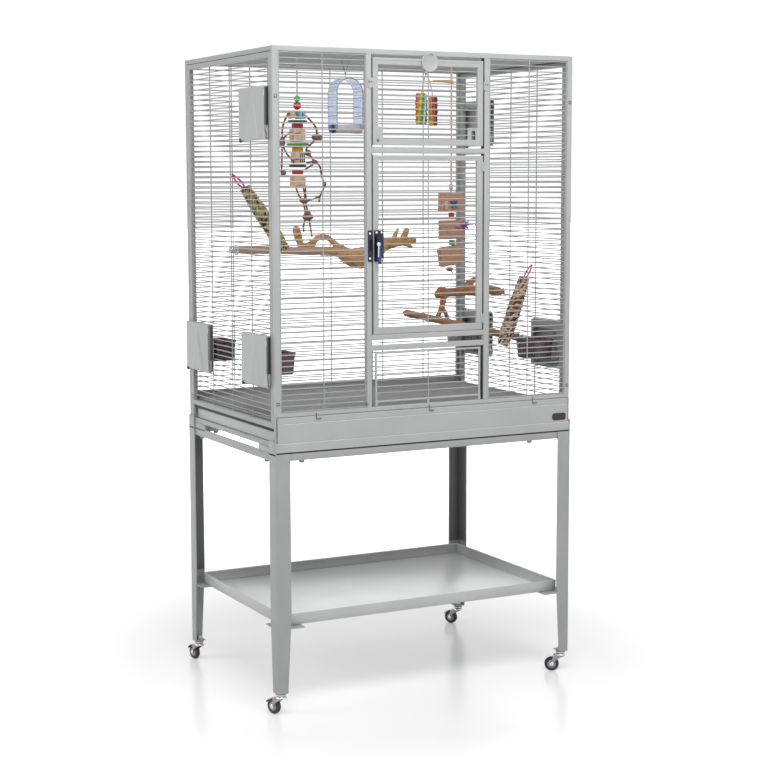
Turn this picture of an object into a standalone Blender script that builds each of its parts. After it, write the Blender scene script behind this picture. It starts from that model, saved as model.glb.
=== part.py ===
"""Flight cage for small birds on a four-legged stand with casters.

Metres, +Z up. X runs along the front, the front faces -Y, and the origin is on the floor
under the middle of the cage.
"""
import math

import bmesh
import bpy
from mathutils import Matrix, Vector

# ---------------------------------------------------------------- driving dimensions
WIDTH = 0.805
DEPTH = 0.545
HEIGHT = 1.550
HALF_W = WIDTH / 2
HALF_D = DEPTH / 2

GAP = 0.0003            # between pieces that touch
RUNNING = 0.0001        # radial clearance of a turning fit
TUBE = 0.012            # thickness of every wall panel
POST = 0.017            # width of the corner posts seen from the front
STILE = 0.016           # width of the side and back panels' upright members
TOP_RAIL = 0.012
WIRE = 0.0020
WALL_PITCH = 0.0128     # half-inch bar spacing of the walls
FRONT_PITCH = 0.0132
DOOR_PITCH = 0.0150
FLOOR_PITCH = 0.0127

# heights, from the floor up
LEG_FOOT_Z = 0.0540
SHELF_Z = (0.2095, 0.2366)
SIDE_RAIL_Z = (0.6020, 0.6225)
FRONT_RAIL_Z = (0.6045, 0.6215)
CAGE_Z = 0.6350         # underside of the cage
FASCIA_Z = (0.6238, 0.6455)
LOWER_RAIL_TOP = 0.6470
TRAY_FRONT_Z = (0.6460, 0.6915)
TRAY_PAN_Z = (0.6473, 0.6720)
SIDE_PANEL_Z = 0.6800
GRATE_FRONT_Z = (0.6920, 0.7065)
GRATE_Z = (0.6920, 0.6970)
WIRE_ZONE_Z = 0.6920    # side walls: top of the bottom rail
FRONT_Z = (0.7070, 0.7170)
TOP_Z = HEIGHT - TOP_RAIL
SIDE_TOP_Z = HEIGHT - 2 * TOP_RAIL

# pivots
MAIN_HINGE = (0.1490, -0.2735, 1.0980)
TOP_HINGE = (0.0, -0.2735, 1.3300)
DISC_PIVOT_Z = 1.5235
SPINDLE_R = 0.0030      # of the disc latch
SPINDLE_BORE_R = 0.00316
LEVER_PIVOT = (-0.1405, -0.2850, 1.1010)
HANG_Z = 1.5430         # height the toys and the swing hang from

# tray and floor
STRIP_X = 0.3986        # half width of the tray's and the floor's front strips
TRAY_X = 0.3965
TRAY_REAR = 0.2330
TRAY_SHEET = 0.0016

# stand
LEG_OUT = 0.0030        # how far the legs stand outside the cage
LEG_SHEET = 0.0025
LEG_FLANGE = 0.0370
LEG_FOOT_FLANGE = 0.0270
LEG_TAPER_Z = 0.2400
LEG_SIDE_TOP = 0.6520
LEG_FRONT_TOP = 0.6215
SHELF_HALF = (0.3825, 0.2520)
SHELF_SHEET = 0.0020
BRACKET_REACH = (0.3330, 0.2050)

# casters
STEM_INSET = 0.0140     # stem axis to the leg's outer faces
WHEEL_R = 0.0185
WHEEL_W = 0.0120
CASTER_TRAIL = 0.0220
AXLE_R = 0.0025
CASTERS = {             # corner: (x side, y side, direction of trail in degrees)
    "front_left": (-1, -1, 113.0),
    "back_left": (-1, 1, 102.0),
    "front_right": (1, -1, 148.0),
    "back_right": (1, 1, 122.0),
}

# front
CENTRE_POST_X = ((-0.1700, -0.1530), (0.1515, 0.1685))
MID_RAIL_Z = (0.8500, 0.8630), (0.8750, 0.8880), (1.3120, 1.3240)
DOOR_SIDES = (-0.1495, 0.1475)
DOOR_THICK = 0.0100
TOP_DOOR_Z = (1.3305, 1.5310)
MAIN_DOOR_Z = (0.8890, 1.3070)
BOTTOM_DOOR_Z = (0.7175, 0.8465)
BOTTOM_DOOR_X = (-0.1450, 0.1440)
GRILLE_BORDER = 0.0030

# feeder openings in the side walls: (level, end of the wall)
HOOD_Y = {"front": (-0.2470, -0.0980), "rear": (0.1150, 0.2640)}
HOOD_DEPTH = 0.0120
HOOD_SHEET = 0.0015
HOOD_Z = {"upper": (1.3405, 1.4625), "lower": (0.7735, 0.8945)}
LEFT_HOODS = (("upper", "front"), ("lower", "front"), ("lower", "rear"))
RIGHT_HOODS = (("upper", "rear"), ("lower", "front"), ("lower", "rear"))
OPENING_Y = {"front": (-0.2360, -0.1120), "rear": (0.1250, 0.2360)}
OPENING_MARGIN_Z = 0.0080

CUP_Y = (0.1300, 0.2300)
CUP_X = (0.3260, 0.3885)
CUP_Z = (0.7990, 0.8510)

# ---------------------------------------------------------------- finishes
GREY = ((0.60, 0.61, 0.62), 0.42, 0.35)
LIGHT_GREY = ((0.66, 0.67, 0.68), 0.40, 0.30)
CHROME = ((0.80, 0.80, 0.82), 0.12, 1.0)
RUBBER = ((0.03, 0.03, 0.035), 0.50, 0.0)
DARK_STEEL = ((0.10, 0.12, 0.18), 0.35, 0.8)
BROWN_PLASTIC = ((0.16, 0.11, 0.11), 0.40, 0.0)
DOWEL = ((0.80, 0.60, 0.50), 0.60, 0.0)
DRIFTWOOD = ((0.60, 0.40, 0.22), 0.75, 0.0)
BLUE_PLASTIC = ((0.45, 0.55, 0.80), 0.25, 0.0)
TOY = ((0.70, 0.35, 0.20), 0.60, 0.0)
SEED = ((0.45, 0.36, 0.18), 0.85, 0.0)


def clear_scene():
    for obj in list(bpy.data.objects):
        bpy.data.objects.remove(obj, do_unlink=True)


def finish(obj, look, smooth=False):
    """Gives a sub-part its own material, and smooth sides where it is round."""
    colour, roughness, metallic = look
    material = bpy.data.materials.new(obj.name)
    material.use_nodes = True
    shader = material.node_tree.nodes["Principled BSDF"]
    shader.inputs["Base Color"].default_value = (*colour, 1.0)
    shader.inputs["Roughness"].default_value = roughness
    shader.inputs["Metallic"].default_value = metallic
    obj.data.materials.clear()
    obj.data.materials.append(material)
    if smooth:
        obj.data.shade_smooth()
        obj.data.set_sharp_from_angle(angle=math.radians(35))
    return obj


def new_object(name, shape):
    """Turns a bmesh into a scene object."""
    bmesh.ops.recalc_face_normals(shape, faces=shape.faces)
    mesh = bpy.data.meshes.new(name)
    shape.to_mesh(mesh)
    shape.free()
    obj = bpy.data.objects.new(name, mesh)
    bpy.context.scene.collection.objects.link(obj)
    return obj


def add_box(shape, x, y, z):
    """Adds a box that spans the pairs x, y and z, given in any order."""
    low = Vector((min(x), min(y), min(z)))
    high = Vector((max(x), max(y), max(z)))
    place = Matrix.Translation((low + high) / 2) @ Matrix.Diagonal((*(high - low), 1.0))
    bmesh.ops.create_cube(shape, size=1.0, matrix=place)


def box(x, y, z):
    shape = bmesh.new()
    add_box(shape, x, y, z)
    return new_object("solid", shape)


def boxes(spans):
    """One operand of several boxes that don't touch each other."""
    shape = bmesh.new()
    for x, y, z in spans:
        add_box(shape, x, y, z)
    return new_object("solids", shape)


def rod(start, end, radius, sides=12, end_radius=None):
    """A round bar between two points."""
    start, end = Vector(start), Vector(end)
    along = end - start
    turn = along.to_track_quat("Z", "Y").to_matrix().to_4x4()
    shape = bmesh.new()
    bmesh.ops.create_cone(
        shape, cap_ends=True, segments=sides, radius1=radius,
        radius2=radius if end_radius is None else end_radius, depth=along.length,
        matrix=Matrix.Translation((start + end) / 2) @ turn)
    return new_object("rod", shape)


def turned(profile, place, sides=16, ring=False):
    """Turns (radius, height) points about local Z. A ring's profile closes on itself."""
    shape = bmesh.new()
    rows = []
    for radius, height in profile:
        if radius < 1e-6:
            rows.append([shape.verts.new(place @ Vector((0, 0, height)))])
            continue
        row = []
        for i in range(sides):
            angle = 2 * math.pi * i / sides
            point = Vector((radius * math.cos(angle), radius * math.sin(angle), height))
            row.append(shape.verts.new(place @ point))
        rows.append(row)
    pairs = list(zip(rows, rows[1:]))
    if ring:
        pairs.append((rows[-1], rows[0]))
    for lower, upper in pairs:
        for i in range(sides):
            j = (i + 1) % sides
            corners = [lower[i % len(lower)], lower[j % len(lower)],
                       upper[j % len(upper)], upper[i % len(upper)]]
            shape.faces.new(list(dict.fromkeys(corners)))
    return new_object("turned", shape)


def prism(outline, place, depth):
    """Extrudes a flat outline along local Z from 0 to depth."""
    shape = bmesh.new()
    base = shape.faces.new([shape.verts.new((u, v, 0)) for u, v in outline])
    top = bmesh.ops.extrude_face_region(shape, geom=[base])["geom"]
    moved = [item for item in top if isinstance(item, bmesh.types.BMVert)]
    bmesh.ops.translate(shape, verts=moved, vec=(0, 0, depth))
    bmesh.ops.transform(shape, matrix=place, verts=shape.verts)
    return new_object("prism", shape)


def combine(name, base, adds=(), cuts=()):
    """Joins operands to a base solid, cuts others away, and keeps the result as one mesh."""
    operands = [(obj, "UNION") for obj in adds] + [(obj, "DIFFERENCE") for obj in cuts]
    for obj, operation in operands:
        obj.hide_render = True
        obj.display_type = "WIRE"
        step = base.modifiers.new(operation.lower(), "BOOLEAN")
        step.operation = operation
        step.solver = "EXACT"
        step.object = obj
    graph = bpy.context.evaluated_depsgraph_get()
    mesh = bpy.data.meshes.new_from_object(base.evaluated_get(graph))
    mesh.name = name
    result = bpy.data.objects.new(name, mesh)
    bpy.context.scene.collection.objects.link(result)
    for obj in [base] + [item[0] for item in operands]:
        bpy.data.objects.remove(obj, do_unlink=True)
    return result


def set_origin(obj, point):
    """Moves an object's origin to its joint axis and leaves the solid where it is."""
    point = Vector(point)
    obj.data.transform(Matrix.Translation(-point))
    obj.location = point
    return obj


def levels(low, high, pitch):
    """Bar heights strictly between two members, centred on the span."""
    count = int((high - low) / pitch + 1e-6)
    if (high - low) - count * pitch < 0.35 * pitch:
        count -= 1
    start = (low + high) / 2 - pitch * (count - 1) / 2
    return [start + pitch * i for i in range(count)]


def wall_levels():
    return levels(WIRE_ZONE_Z, SIDE_TOP_Z, WALL_PITCH)


def between_bars(z):
    """Nearest height midway between two bars of a side wall."""
    bars = wall_levels()
    middles = [(a + b) / 2 for a, b in zip(bars, bars[1:])]
    return min(middles, key=lambda middle: abs(middle - z))


def square_wire(centre):
    return (centre - WIRE / 2, centre + WIRE / 2)


# ---------------------------------------------------------------- stand
def make_leg(name, sx, sy):
    """Folded L-section leg with a tapered foot, a foot plate and a shelf bracket."""
    out_x, out_y = HALF_W + LEG_OUT, HALF_D + LEG_OUT
    front = [(0, LEG_FOOT_Z), (0, LEG_FRONT_TOP), (LEG_FLANGE, LEG_FRONT_TOP),
             (LEG_FLANGE, LEG_TAPER_Z), (LEG_FOOT_FLANGE, LEG_FOOT_Z)]
    side = [(0, LEG_FOOT_Z), (0, LEG_SIDE_TOP), (LEG_FLANGE, LEG_SIDE_TOP),
            (LEG_FLANGE, LEG_TAPER_Z), (LEG_FOOT_FLANGE, LEG_FOOT_Z)]
    along_x = Matrix(((-sx, 0, 0, sx * out_x), (0, 0, -sy, sy * out_y), (0, 1, 0, 0), (0, 0, 0, 1)))
    along_y = Matrix(((0, 0, -sx, sx * out_x), (-sy, 0, 0, sy * out_y), (0, 1, 0, 0), (0, 0, 0, 1)))
    base = prism(front, along_x, LEG_SHEET)
    flange = prism(side, along_y, LEG_SHEET)
    plate = box((sx * (out_x - 0.001), sx * (out_x - LEG_FOOT_FLANGE)),
                (sy * (out_y - 0.001), sy * (out_y - LEG_FOOT_FLANGE)),
                (LEG_FOOT_Z + 0.0005, LEG_FOOT_Z + 0.0035))
    bracket = box((sx * (out_x - 0.001), sx * BRACKET_REACH[0]),
                  (sy * (out_y - 0.001), sy * BRACKET_REACH[1]),
                  (SHELF_Z[0] - 0.0030, SHELF_Z[0] - GAP))
    stem_x, stem_y = sx * (out_x - STEM_INSET), sy * (out_y - STEM_INSET)
    bore = rod((stem_x, stem_y, LEG_FOOT_Z - 0.01), (stem_x, stem_y, LEG_FOOT_Z + 0.02), 0.0050)
    return finish(combine(name, base, [flange, plate, bracket], [bore]), GREY)


def make_side_rail(name, sx):
    """Flat rail with a folded foot and the two raised tabs that carry the cage."""
    web = box((sx * HALF_W, sx * (HALF_W - 0.003)), (-0.2660, 0.2660), SIDE_RAIL_Z)
    foot = box((sx * (HALF_W - 0.001), sx * 0.3805), (-0.2350, 0.2350),
               (SIDE_RAIL_Z[0], SIDE_RAIL_Z[0] + 0.0025))
    tabs = boxes([((sx * HALF_W, sx * (HALF_W - 0.016)), (sy * 0.1700, sy * 0.2660),
                   (SIDE_RAIL_Z[1] - 0.004, CAGE_Z - GAP)) for sy in (-1, 1)])
    return finish(combine(name, web, [foot, tabs]), GREY)


def make_end_rail(name, sy):
    """Front or back rail of the stand."""
    web = box((-0.4020, 0.4020), (sy * HALF_D, sy * (HALF_D - 0.003)), FRONT_RAIL_Z)
    tube = box((-0.3790, 0.3790), (sy * (HALF_D - 0.001), sy * (HALF_D - 0.017)), FRONT_RAIL_Z)
    return finish(combine(name, web, [tube]), GREY)


def make_shelf():
    hx, hy = SHELF_HALF
    pan = box((-hx, hx), (-hy, hy), SHELF_Z)
    inside = box((SHELF_SHEET - hx, hx - SHELF_SHEET), (SHELF_SHEET - hy, hy - SHELF_SHEET),
                 (SHELF_Z[0] + SHELF_SHEET, SHELF_Z[1] + 0.01))
    return finish(combine("lower_shelf", pan, cuts=[inside]), LIGHT_GREY)


# ---------------------------------------------------------------- casters
def make_caster(corner, sx, sy, heading):
    """Stem, swivelling fork and wheel. The wheel trails the stem towards the heading."""
    x = sx * (HALF_W + LEG_OUT - STEM_INSET)
    y = sy * (HALF_D + LEG_OUT - STEM_INSET)
    yaw = Matrix.Translation((x, y, 0)) @ Matrix.Rotation(math.radians(heading), 4, "Z")

    cup = [(0, 0.0475), (0.0115, 0.0475), (0.0125, 0.0490), (0.0125, 0.0520), (0.0100, 0.0537),
           (0.0046, 0.0537), (0.0046, 0.0660), (0, 0.0660)]
    stem = finish(turned(cup, yaw, 14), CHROME, smooth=True)
    stem.name = "caster_stem_" + corner

    crown = turned([(0, 0.0405), (0.0120, 0.0405), (0.0120, 0.0455), (0.0095, 0.0472),
                    (0, 0.0472)], yaw, 14)
    outline = [(-0.0115, 0.0435), (0.0125, 0.0435), (CASTER_TRAIL + 0.0065, 0.0250),
               (CASTER_TRAIL + 0.0065, 0.0140), (CASTER_TRAIL - 0.0065, 0.0140), (-0.0095, 0.0380)]
    cheeks = []
    for side in (-1, 1):
        near = side * (WHEEL_W / 2 + 0.0012)
        far = side * (WHEEL_W / 2 + 0.0030)
        upright = Matrix(((1, 0, 0, 0), (0, 0, 1, min(near, far)), (0, 1, 0, 0), (0, 0, 0, 1)))
        cheeks.append(prism(outline, yaw @ upright, abs(far - near)))
    half_axle = WHEEL_W / 2 + 0.0038
    axle = rod(yaw @ Vector((CASTER_TRAIL, -half_axle, WHEEL_R)),
               yaw @ Vector((CASTER_TRAIL, half_axle, WHEEL_R)), AXLE_R, 10)
    fork = finish(combine("caster_fork_" + corner, crown, cheeks + [axle]), CHROME)
    set_origin(fork, (x, y, 0.0475))

    centre = yaw @ Matrix.Translation((CASTER_TRAIL, 0, WHEEL_R)) @ Matrix.Rotation(math.pi / 2, 4, "X")
    bore = AXLE_R + RUNNING
    tread = [(bore, -WHEEL_W / 2), (0.0110, -WHEEL_W / 2), (0.0165, -WHEEL_W / 2), (WHEEL_R, -0.0030),
             (WHEEL_R, 0.0030), (0.0165, WHEEL_W / 2), (0.0110, WHEEL_W / 2), (bore, WHEEL_W / 2)]
    wheel = turned(tread, centre, 20, ring=True)
    wheel.name = "caster_wheel_" + corner
    finish(wheel, RUBBER, smooth=True)
    set_origin(wheel, centre.translation)


# ---------------------------------------------------------------- base, tray and floor
def make_base():
    """Ring under the cage: side rails that carry the tray, back sheet, front fascia, corners."""
    back = box((-HALF_W, HALF_W), (HALF_D - TUBE, HALF_D), (CAGE_Z, FRONT_Z[0] - 0.0010))
    rails = boxes([((s * HALF_W, s * (HALF_W - TUBE)), (-HALF_D + 0.008, HALF_D - 0.001),
                    (CAGE_Z, LOWER_RAIL_TOP)) for s in (-1, 1)])
    fascia = box((-HALF_W, HALF_W), (-HALF_D, -HALF_D + 0.006), FASCIA_Z)
    front_posts = boxes([((s * HALF_W, s * (HALF_W - 0.0020)), (-HALF_D, -HALF_D + TUBE),
                          (CAGE_Z + 0.001, GRATE_FRONT_Z[1])) for s in (-1, 1)])
    back_posts = boxes([((s * HALF_W, s * (HALF_W - TUBE)), (0.2450, HALF_D - TUBE + 0.002),
                         (CAGE_Z + 0.001, SIDE_PANEL_Z - GAP)) for s in (-1, 1)])
    return finish(combine("base_frame", back, [rails, fascia, front_posts, back_posts]), GREY)


def make_tray():
    front = box((-STRIP_X, STRIP_X), (-HALF_D, -HALF_D + 0.0070), TRAY_FRONT_Z)
    pan = box((-TRAY_X, TRAY_X), (-HALF_D + 0.0060, TRAY_REAR), TRAY_PAN_Z)
    inside = box((TRAY_SHEET - TRAY_X, TRAY_X - TRAY_SHEET), (-HALF_D + 0.0090, TRAY_REAR - TRAY_SHEET),
                 (TRAY_PAN_Z[0] + TRAY_SHEET, 0.7200))
    return finish(combine("tray", front, [pan], [inside]), GREY)


def make_grate():
    """Pull-out floor: front strip, rim and cross wires, with three bearers under them."""
    strip = box((-STRIP_X, STRIP_X), (-HALF_D, -HALF_D + 0.0060), GRATE_FRONT_Z)
    rim = box((-0.3860, 0.3860), (-HALF_D + 0.0050, 0.2550), (GRATE_Z[0], GRATE_Z[1]))
    hole = box((-0.3810, 0.3810), (-HALF_D + 0.0100, 0.2500), (GRATE_Z[0] - 0.01, GRATE_Z[1] + 0.002))
    grate = combine("rimmed_floor", strip, [rim], [hole])
    wire_z = (GRATE_Z[1] - WIRE - 0.0005, GRATE_Z[1] - 0.0005)
    wires = boxes([((-0.3830, 0.3830), square_wire(y), wire_z)
                   for y in levels(-HALF_D + 0.0100, 0.2500, FLOOR_PITCH)])
    bearer_z = (GRATE_Z[0] + 0.0001, wire_z[0] - GAP)
    bearers = boxes([((x - 0.0015, x + 0.0015), (-HALF_D + 0.0080, 0.2520), bearer_z)
                     for x in (-0.1950, 0.0, 0.1950)])
    return finish(combine("floor_grate", grate, [wires, bearers]), GREY)


# ---------------------------------------------------------------- wall panels
def hood_span(end):
    """Y span of a hood at the front or rear end of a side wall."""
    return HOOD_Y[end]


def opening_box(sx, level, end):
    """Feeder opening behind a hood."""
    low, high = HOOD_Z[level]
    return ((sx * 0.3800, sx * 0.4200), OPENING_Y[end],
            (low + OPENING_MARGIN_Z, high - OPENING_MARGIN_Z))


def make_side_panel(name, sx, hoods):
    """Framed wire wall with a plate round each feeder opening and a ledge for the floor."""
    plate_y = HALF_D - TUBE - GAP
    hole_y = plate_y - STILE
    wall = box((sx * HALF_W, sx * (HALF_W - TUBE)), (-plate_y, plate_y), (SIDE_PANEL_Z, HEIGHT))
    hole = box((sx * 0.3800, sx * 0.4200), (-hole_y, hole_y), (WIRE_ZONE_Z, SIDE_TOP_Z))
    frame = combine("framed_wall", wall, cuts=[hole])
    wire_x = tuple(sx * v for v in square_wire(0.3965))
    stay_x = tuple(sx * v for v in square_wire(0.3965 - WIRE - GAP))
    wires = boxes([(wire_x, (-hole_y - 0.004, hole_y + 0.004), square_wire(z)) for z in wall_levels()])
    stays = boxes([(stay_x, square_wire(y), (WIRE_ZONE_Z - 0.004, SIDE_TOP_Z + 0.004))
                   for y in (-0.1245, 0.0, 0.1245)])
    plates = []
    for level, end in hoods:
        sy = 1 if end == "rear" else -1
        low, high = HOOD_Z[level]
        inner_y = min(abs(y) for y in hood_span(end)) + 0.0030
        plates.append(((sx * 0.3920, sx * 0.3990), (sy * inner_y, sy * (hole_y + 0.002)),
                       (low + 0.0010, high - 0.0010)))
    ledge = box((sx * (HALF_W - TUBE + 0.002), sx * 0.3745), (-0.2560, 0.2560),
                (GRATE_Z[0] - 0.0035, GRATE_Z[0] - GAP))
    cuts = [boxes([opening_box(sx, *hood) for hood in hoods])]
    return finish(combine(name, frame, [wires, stays, boxes(plates), ledge], cuts), GREY)


def make_back_panel():
    bottom = FRONT_Z[0] - 0.0010 + GAP
    hole_x = HALF_W - STILE
    wall = box((-HALF_W, HALF_W), (HALF_D - TUBE, HALF_D), (bottom, HEIGHT))
    hole = box((-hole_x, hole_x), (HALF_D - 0.05, HALF_D + 0.05), (bottom + 0.0060, TOP_Z))
    frame = combine("framed_back", wall, cuts=[hole])
    centre = HALF_D - TUBE / 2
    wires = boxes([((-hole_x - 0.004, hole_x + 0.004), square_wire(centre), square_wire(z))
                   for z in levels(bottom + 0.0060, TOP_Z, WALL_PITCH)])
    stays = boxes([(square_wire(x), square_wire(centre - WIRE - GAP), (bottom + 0.003, TOP_Z + 0.004))
                   for x in (-0.280, -0.155, 0.0, 0.155, 0.280)])
    return finish(combine("back_panel", frame, [wires, stays]), GREY)


def make_top_panel():
    x, y = HALF_W - TUBE - GAP, HALF_D - TUBE - GAP
    front_y = -y + 0.0040
    wall = box((-x, x), (front_y, y), (TOP_Z + 0.0005, HEIGHT - GAP))
    hole = box((0.010 - x, x - 0.010), (front_y + 0.010, y - 0.010), (TOP_Z - 0.05, HEIGHT + 0.05))
    frame = combine("framed_top", wall, cuts=[hole])
    centre = HEIGHT - 0.0045
    wires = boxes([((0.006 - x, x - 0.006), square_wire(row), square_wire(centre))
                   for row in levels(front_y + 0.010, y - 0.010, WALL_PITCH)])
    stays = boxes([(square_wire(column), (front_y + 0.006, y - 0.006), square_wire(centre - WIRE - GAP))
                   for column in (-0.280, -0.1175, 0.1175, 0.280)])
    return finish(combine("top_panel", frame, [wires, stays]), GREY)


# ---------------------------------------------------------------- front
def make_front_frame():
    """Front sheet with two grille openings, three doorways and the slots between rails."""
    deep = (-HALF_D - 0.05, -HALF_D + 0.05)
    wall = box((-HALF_W, HALF_W), (-HALF_D, -HALF_D + TUBE), (FRONT_Z[0], HEIGHT))
    outer = HALF_W - POST + GRILLE_BORDER
    left, right = CENTRE_POST_X
    holes = [((-outer, left[0] + GRILLE_BORDER), deep, (FRONT_Z[1], TOP_Z)),
             ((right[1] - GRILLE_BORDER, outer), deep, (FRONT_Z[1], TOP_Z))]
    stops = [FRONT_Z[1]] + [z for rail in MID_RAIL_Z for z in rail] + [TOP_Z]
    for low, high in zip(stops[::2], stops[1::2]):
        holes.append(((left[1], right[0]), deep, (low, high)))
    return finish(combine("front_frame", wall, cuts=[boxes(holes)]), LIGHT_GREY)


def make_front_grille(name, sx):
    """Wire panel with a thin rim that stands against the posts."""
    outer = HALF_W - POST + GRILLE_BORDER - GAP
    inner = (abs(CENTRE_POST_X[0][0]) if sx < 0 else CENTRE_POST_X[1][1]) - GRILLE_BORDER + GAP
    low, high = FRONT_Z[1] + GAP, TOP_Z - GAP
    rim = GRILLE_BORDER - GAP
    wall = box((sx * inner, sx * outer), (-0.2710, -0.2640), (low, high))
    hole = box((sx * (inner + rim), sx * (outer - rim)), (-0.30, -0.25), (low + rim, high - rim))
    frame = combine("framed_grille", wall, cuts=[hole])
    wires = boxes([((sx * (inner + 0.001), sx * (outer - 0.001)), square_wire(-0.2685), square_wire(z))
                   for z in levels(low + rim, high - rim, FRONT_PITCH)])
    stay = box(square_wire(sx * 0.2785), square_wire(-0.2685 + WIRE + GAP), (low + 0.001, high - 0.001))
    return finish(combine(name, frame, [wires, stay]), LIGHT_GREY)


def make_door(name, x, z, y, members, stay_x, bores=()):
    """Framed wire door. members gives the widths of its stiles, bottom rail and top rail."""
    stile, bottom, top = members
    inner_x = (x[0] + stile, x[1] - stile)
    inner_z = (z[0] + bottom, z[1] - top)
    wall = box(x, y, z)
    hole = box(inner_x, (y[0] - 0.05, y[1] + 0.05), inner_z)
    frame = combine("framed_door", wall, cuts=[hole])
    bite = stile * 0.4
    centre = y[0] + 0.0018
    wires = boxes([((inner_x[0] - bite, inner_x[1] + bite), square_wire(centre), square_wire(level))
                   for level in levels(*inner_z, DOOR_PITCH)])
    stay = box(square_wire(stay_x), square_wire(centre + WIRE + GAP),
               (inner_z[0] - bottom * 0.4, inner_z[1] + top * 0.4))
    return combine(name, frame, [wires, stay], bores)


def make_doors():
    front = (-HALF_D, -HALF_D + DOOR_THICK)
    bore = rod((0, -0.30, DISC_PIVOT_Z), (0, -0.25, DISC_PIVOT_Z), SPINDLE_BORE_R)
    top = make_door("top_door", DOOR_SIDES, TOP_DOOR_Z, front, (0.0145, 0.0140, 0.0160), -0.002, [bore])
    set_origin(finish(top, LIGHT_GREY), (0, TOP_HINGE[1], TOP_HINGE[2]))

    main = make_door("main_door", DOOR_SIDES, MAIN_DOOR_Z, front, (0.0150, 0.0160, 0.0120), -0.002)
    barrels = [rod((MAIN_HINGE[0], MAIN_HINGE[1], z), (MAIN_HINGE[0], MAIN_HINGE[1], z + 0.022), 0.0022, 10)
               for z in (0.9050, 1.2700)]
    main = combine("main_door", main, barrels)
    main.name = "main_door"
    set_origin(finish(main, LIGHT_GREY), MAIN_HINGE)

    flush = (-HALF_D + 0.0005, -HALF_D + 0.0055)
    feet_top = BOTTOM_DOOR_Z[0] + 0.0090
    bottom = make_door("bottom_door", BOTTOM_DOOR_X, (feet_top, BOTTOM_DOOR_Z[1]), flush,
                       (0.0055, 0.0050, 0.0050), -0.002)
    feet = boxes([((x - 0.0030, x + 0.0030), flush, (BOTTOM_DOOR_Z[0], feet_top + 0.002))
                  for x in (BOTTOM_DOOR_X[0] + 0.0031, -0.002, BOTTOM_DOOR_X[1] - 0.0031)])
    bottom = combine("bottom_door", bottom, [feet])
    bottom.name = "bottom_door"
    set_origin(finish(bottom, LIGHT_GREY), (0, -HALF_D, BOTTOM_DOOR_Z[0]))


def make_latches():
    keeper = box((-0.1645, -0.1535), (-0.2755, -HALF_D - GAP), (1.0600, 1.1330))
    lip = box((-0.1575, -0.1535), (-0.2815, -0.2750), (1.0860, 1.1110))
    finish(combine("latch_keeper", keeper, [lip]), DARK_STEEL)

    body = box((-0.1480, -0.1240), (-0.2845, -HALF_D - GAP), (1.0600, 1.1330))
    cap = box((-0.1450, -0.1270), (-0.2849, -0.2840), (1.0700, 1.1230))
    finish(combine("latch_body", body, [cap]), DARK_STEEL)

    x, y, z = LEVER_PIVOT
    hub = rod((x, y - 0.0042, z), (x, y - GAP, z), 0.0070, 14)
    arm = box((x - 0.0035, x + 0.0035), (y - 0.0040, y - 0.0012), (z - 0.0440, z))
    grip = rod((x, y - 0.0046, z - 0.0430), (x, y - 0.0010, z - 0.0430), 0.0048, 12)
    lever = finish(combine("latch_lever", hub, [arm, grip]), DARK_STEEL)
    set_origin(lever, LEVER_PIVOT)

    front = -HALF_D - 0.0010
    disc = rod((0, front - 0.0025, DISC_PIVOT_Z), (0, front, DISC_PIVOT_Z), 0.0225, 32)
    spindle = rod((0, front - 0.001, DISC_PIVOT_Z), (0, -0.2585, DISC_PIVOT_Z), SPINDLE_R)
    cam = box((-0.0170, 0.0170), (-0.2600, -0.2580), (DISC_PIVOT_Z - 0.0050, DISC_PIVOT_Z + 0.0050))
    knob = finish(combine("disc_latch", disc, [spindle, cam]), LIGHT_GREY)
    set_origin(knob, (0, front, DISC_PIVOT_Z))


# ---------------------------------------------------------------- feeders
def make_hood(name, sx, level, end):
    """Sheet-metal cover of a feeder opening, open towards the cage, with a knob."""
    low_y, high_y = hood_span(end)
    low_z, high_z = HOOD_Z[level]
    near = HALF_W + 0.0004
    far = HALF_W + HOOD_DEPTH
    shell = box((sx * near, sx * far), (low_y, high_y), (low_z, high_z))
    knob = rod((sx * (far - 0.001), high_y - 0.0090, low_z + 0.0080),
               (sx * (far + 0.0080), high_y - 0.0090, low_z + 0.0080), 0.0040, 10)
    hollow = box((sx * (near - 0.01), sx * (far - HOOD_SHEET)),
                 (low_y + HOOD_SHEET, high_y - HOOD_SHEET), (low_z + HOOD_SHEET, high_z - HOOD_SHEET))
    hood = finish(combine(name, shell, [knob], [hollow]), GREY)
    set_origin(hood, (sx * far, low_y, (low_z + high_z) / 2))


def rounded_outline(half_x, half_y, radius, steps=4):
    """Rectangle with round corners, as (x, y) points."""
    points = []
    for quarter, (cx, cy) in enumerate(((1, 1), (-1, 1), (-1, -1), (1, -1))):
        for i in range(steps):
            angle = math.pi / 2 * (quarter + i / (steps - 1))
            points.append((cx * (half_x - radius) + radius * math.cos(angle),
                           cy * (half_y - radius) + radius * math.sin(angle)))
    return points


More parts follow.
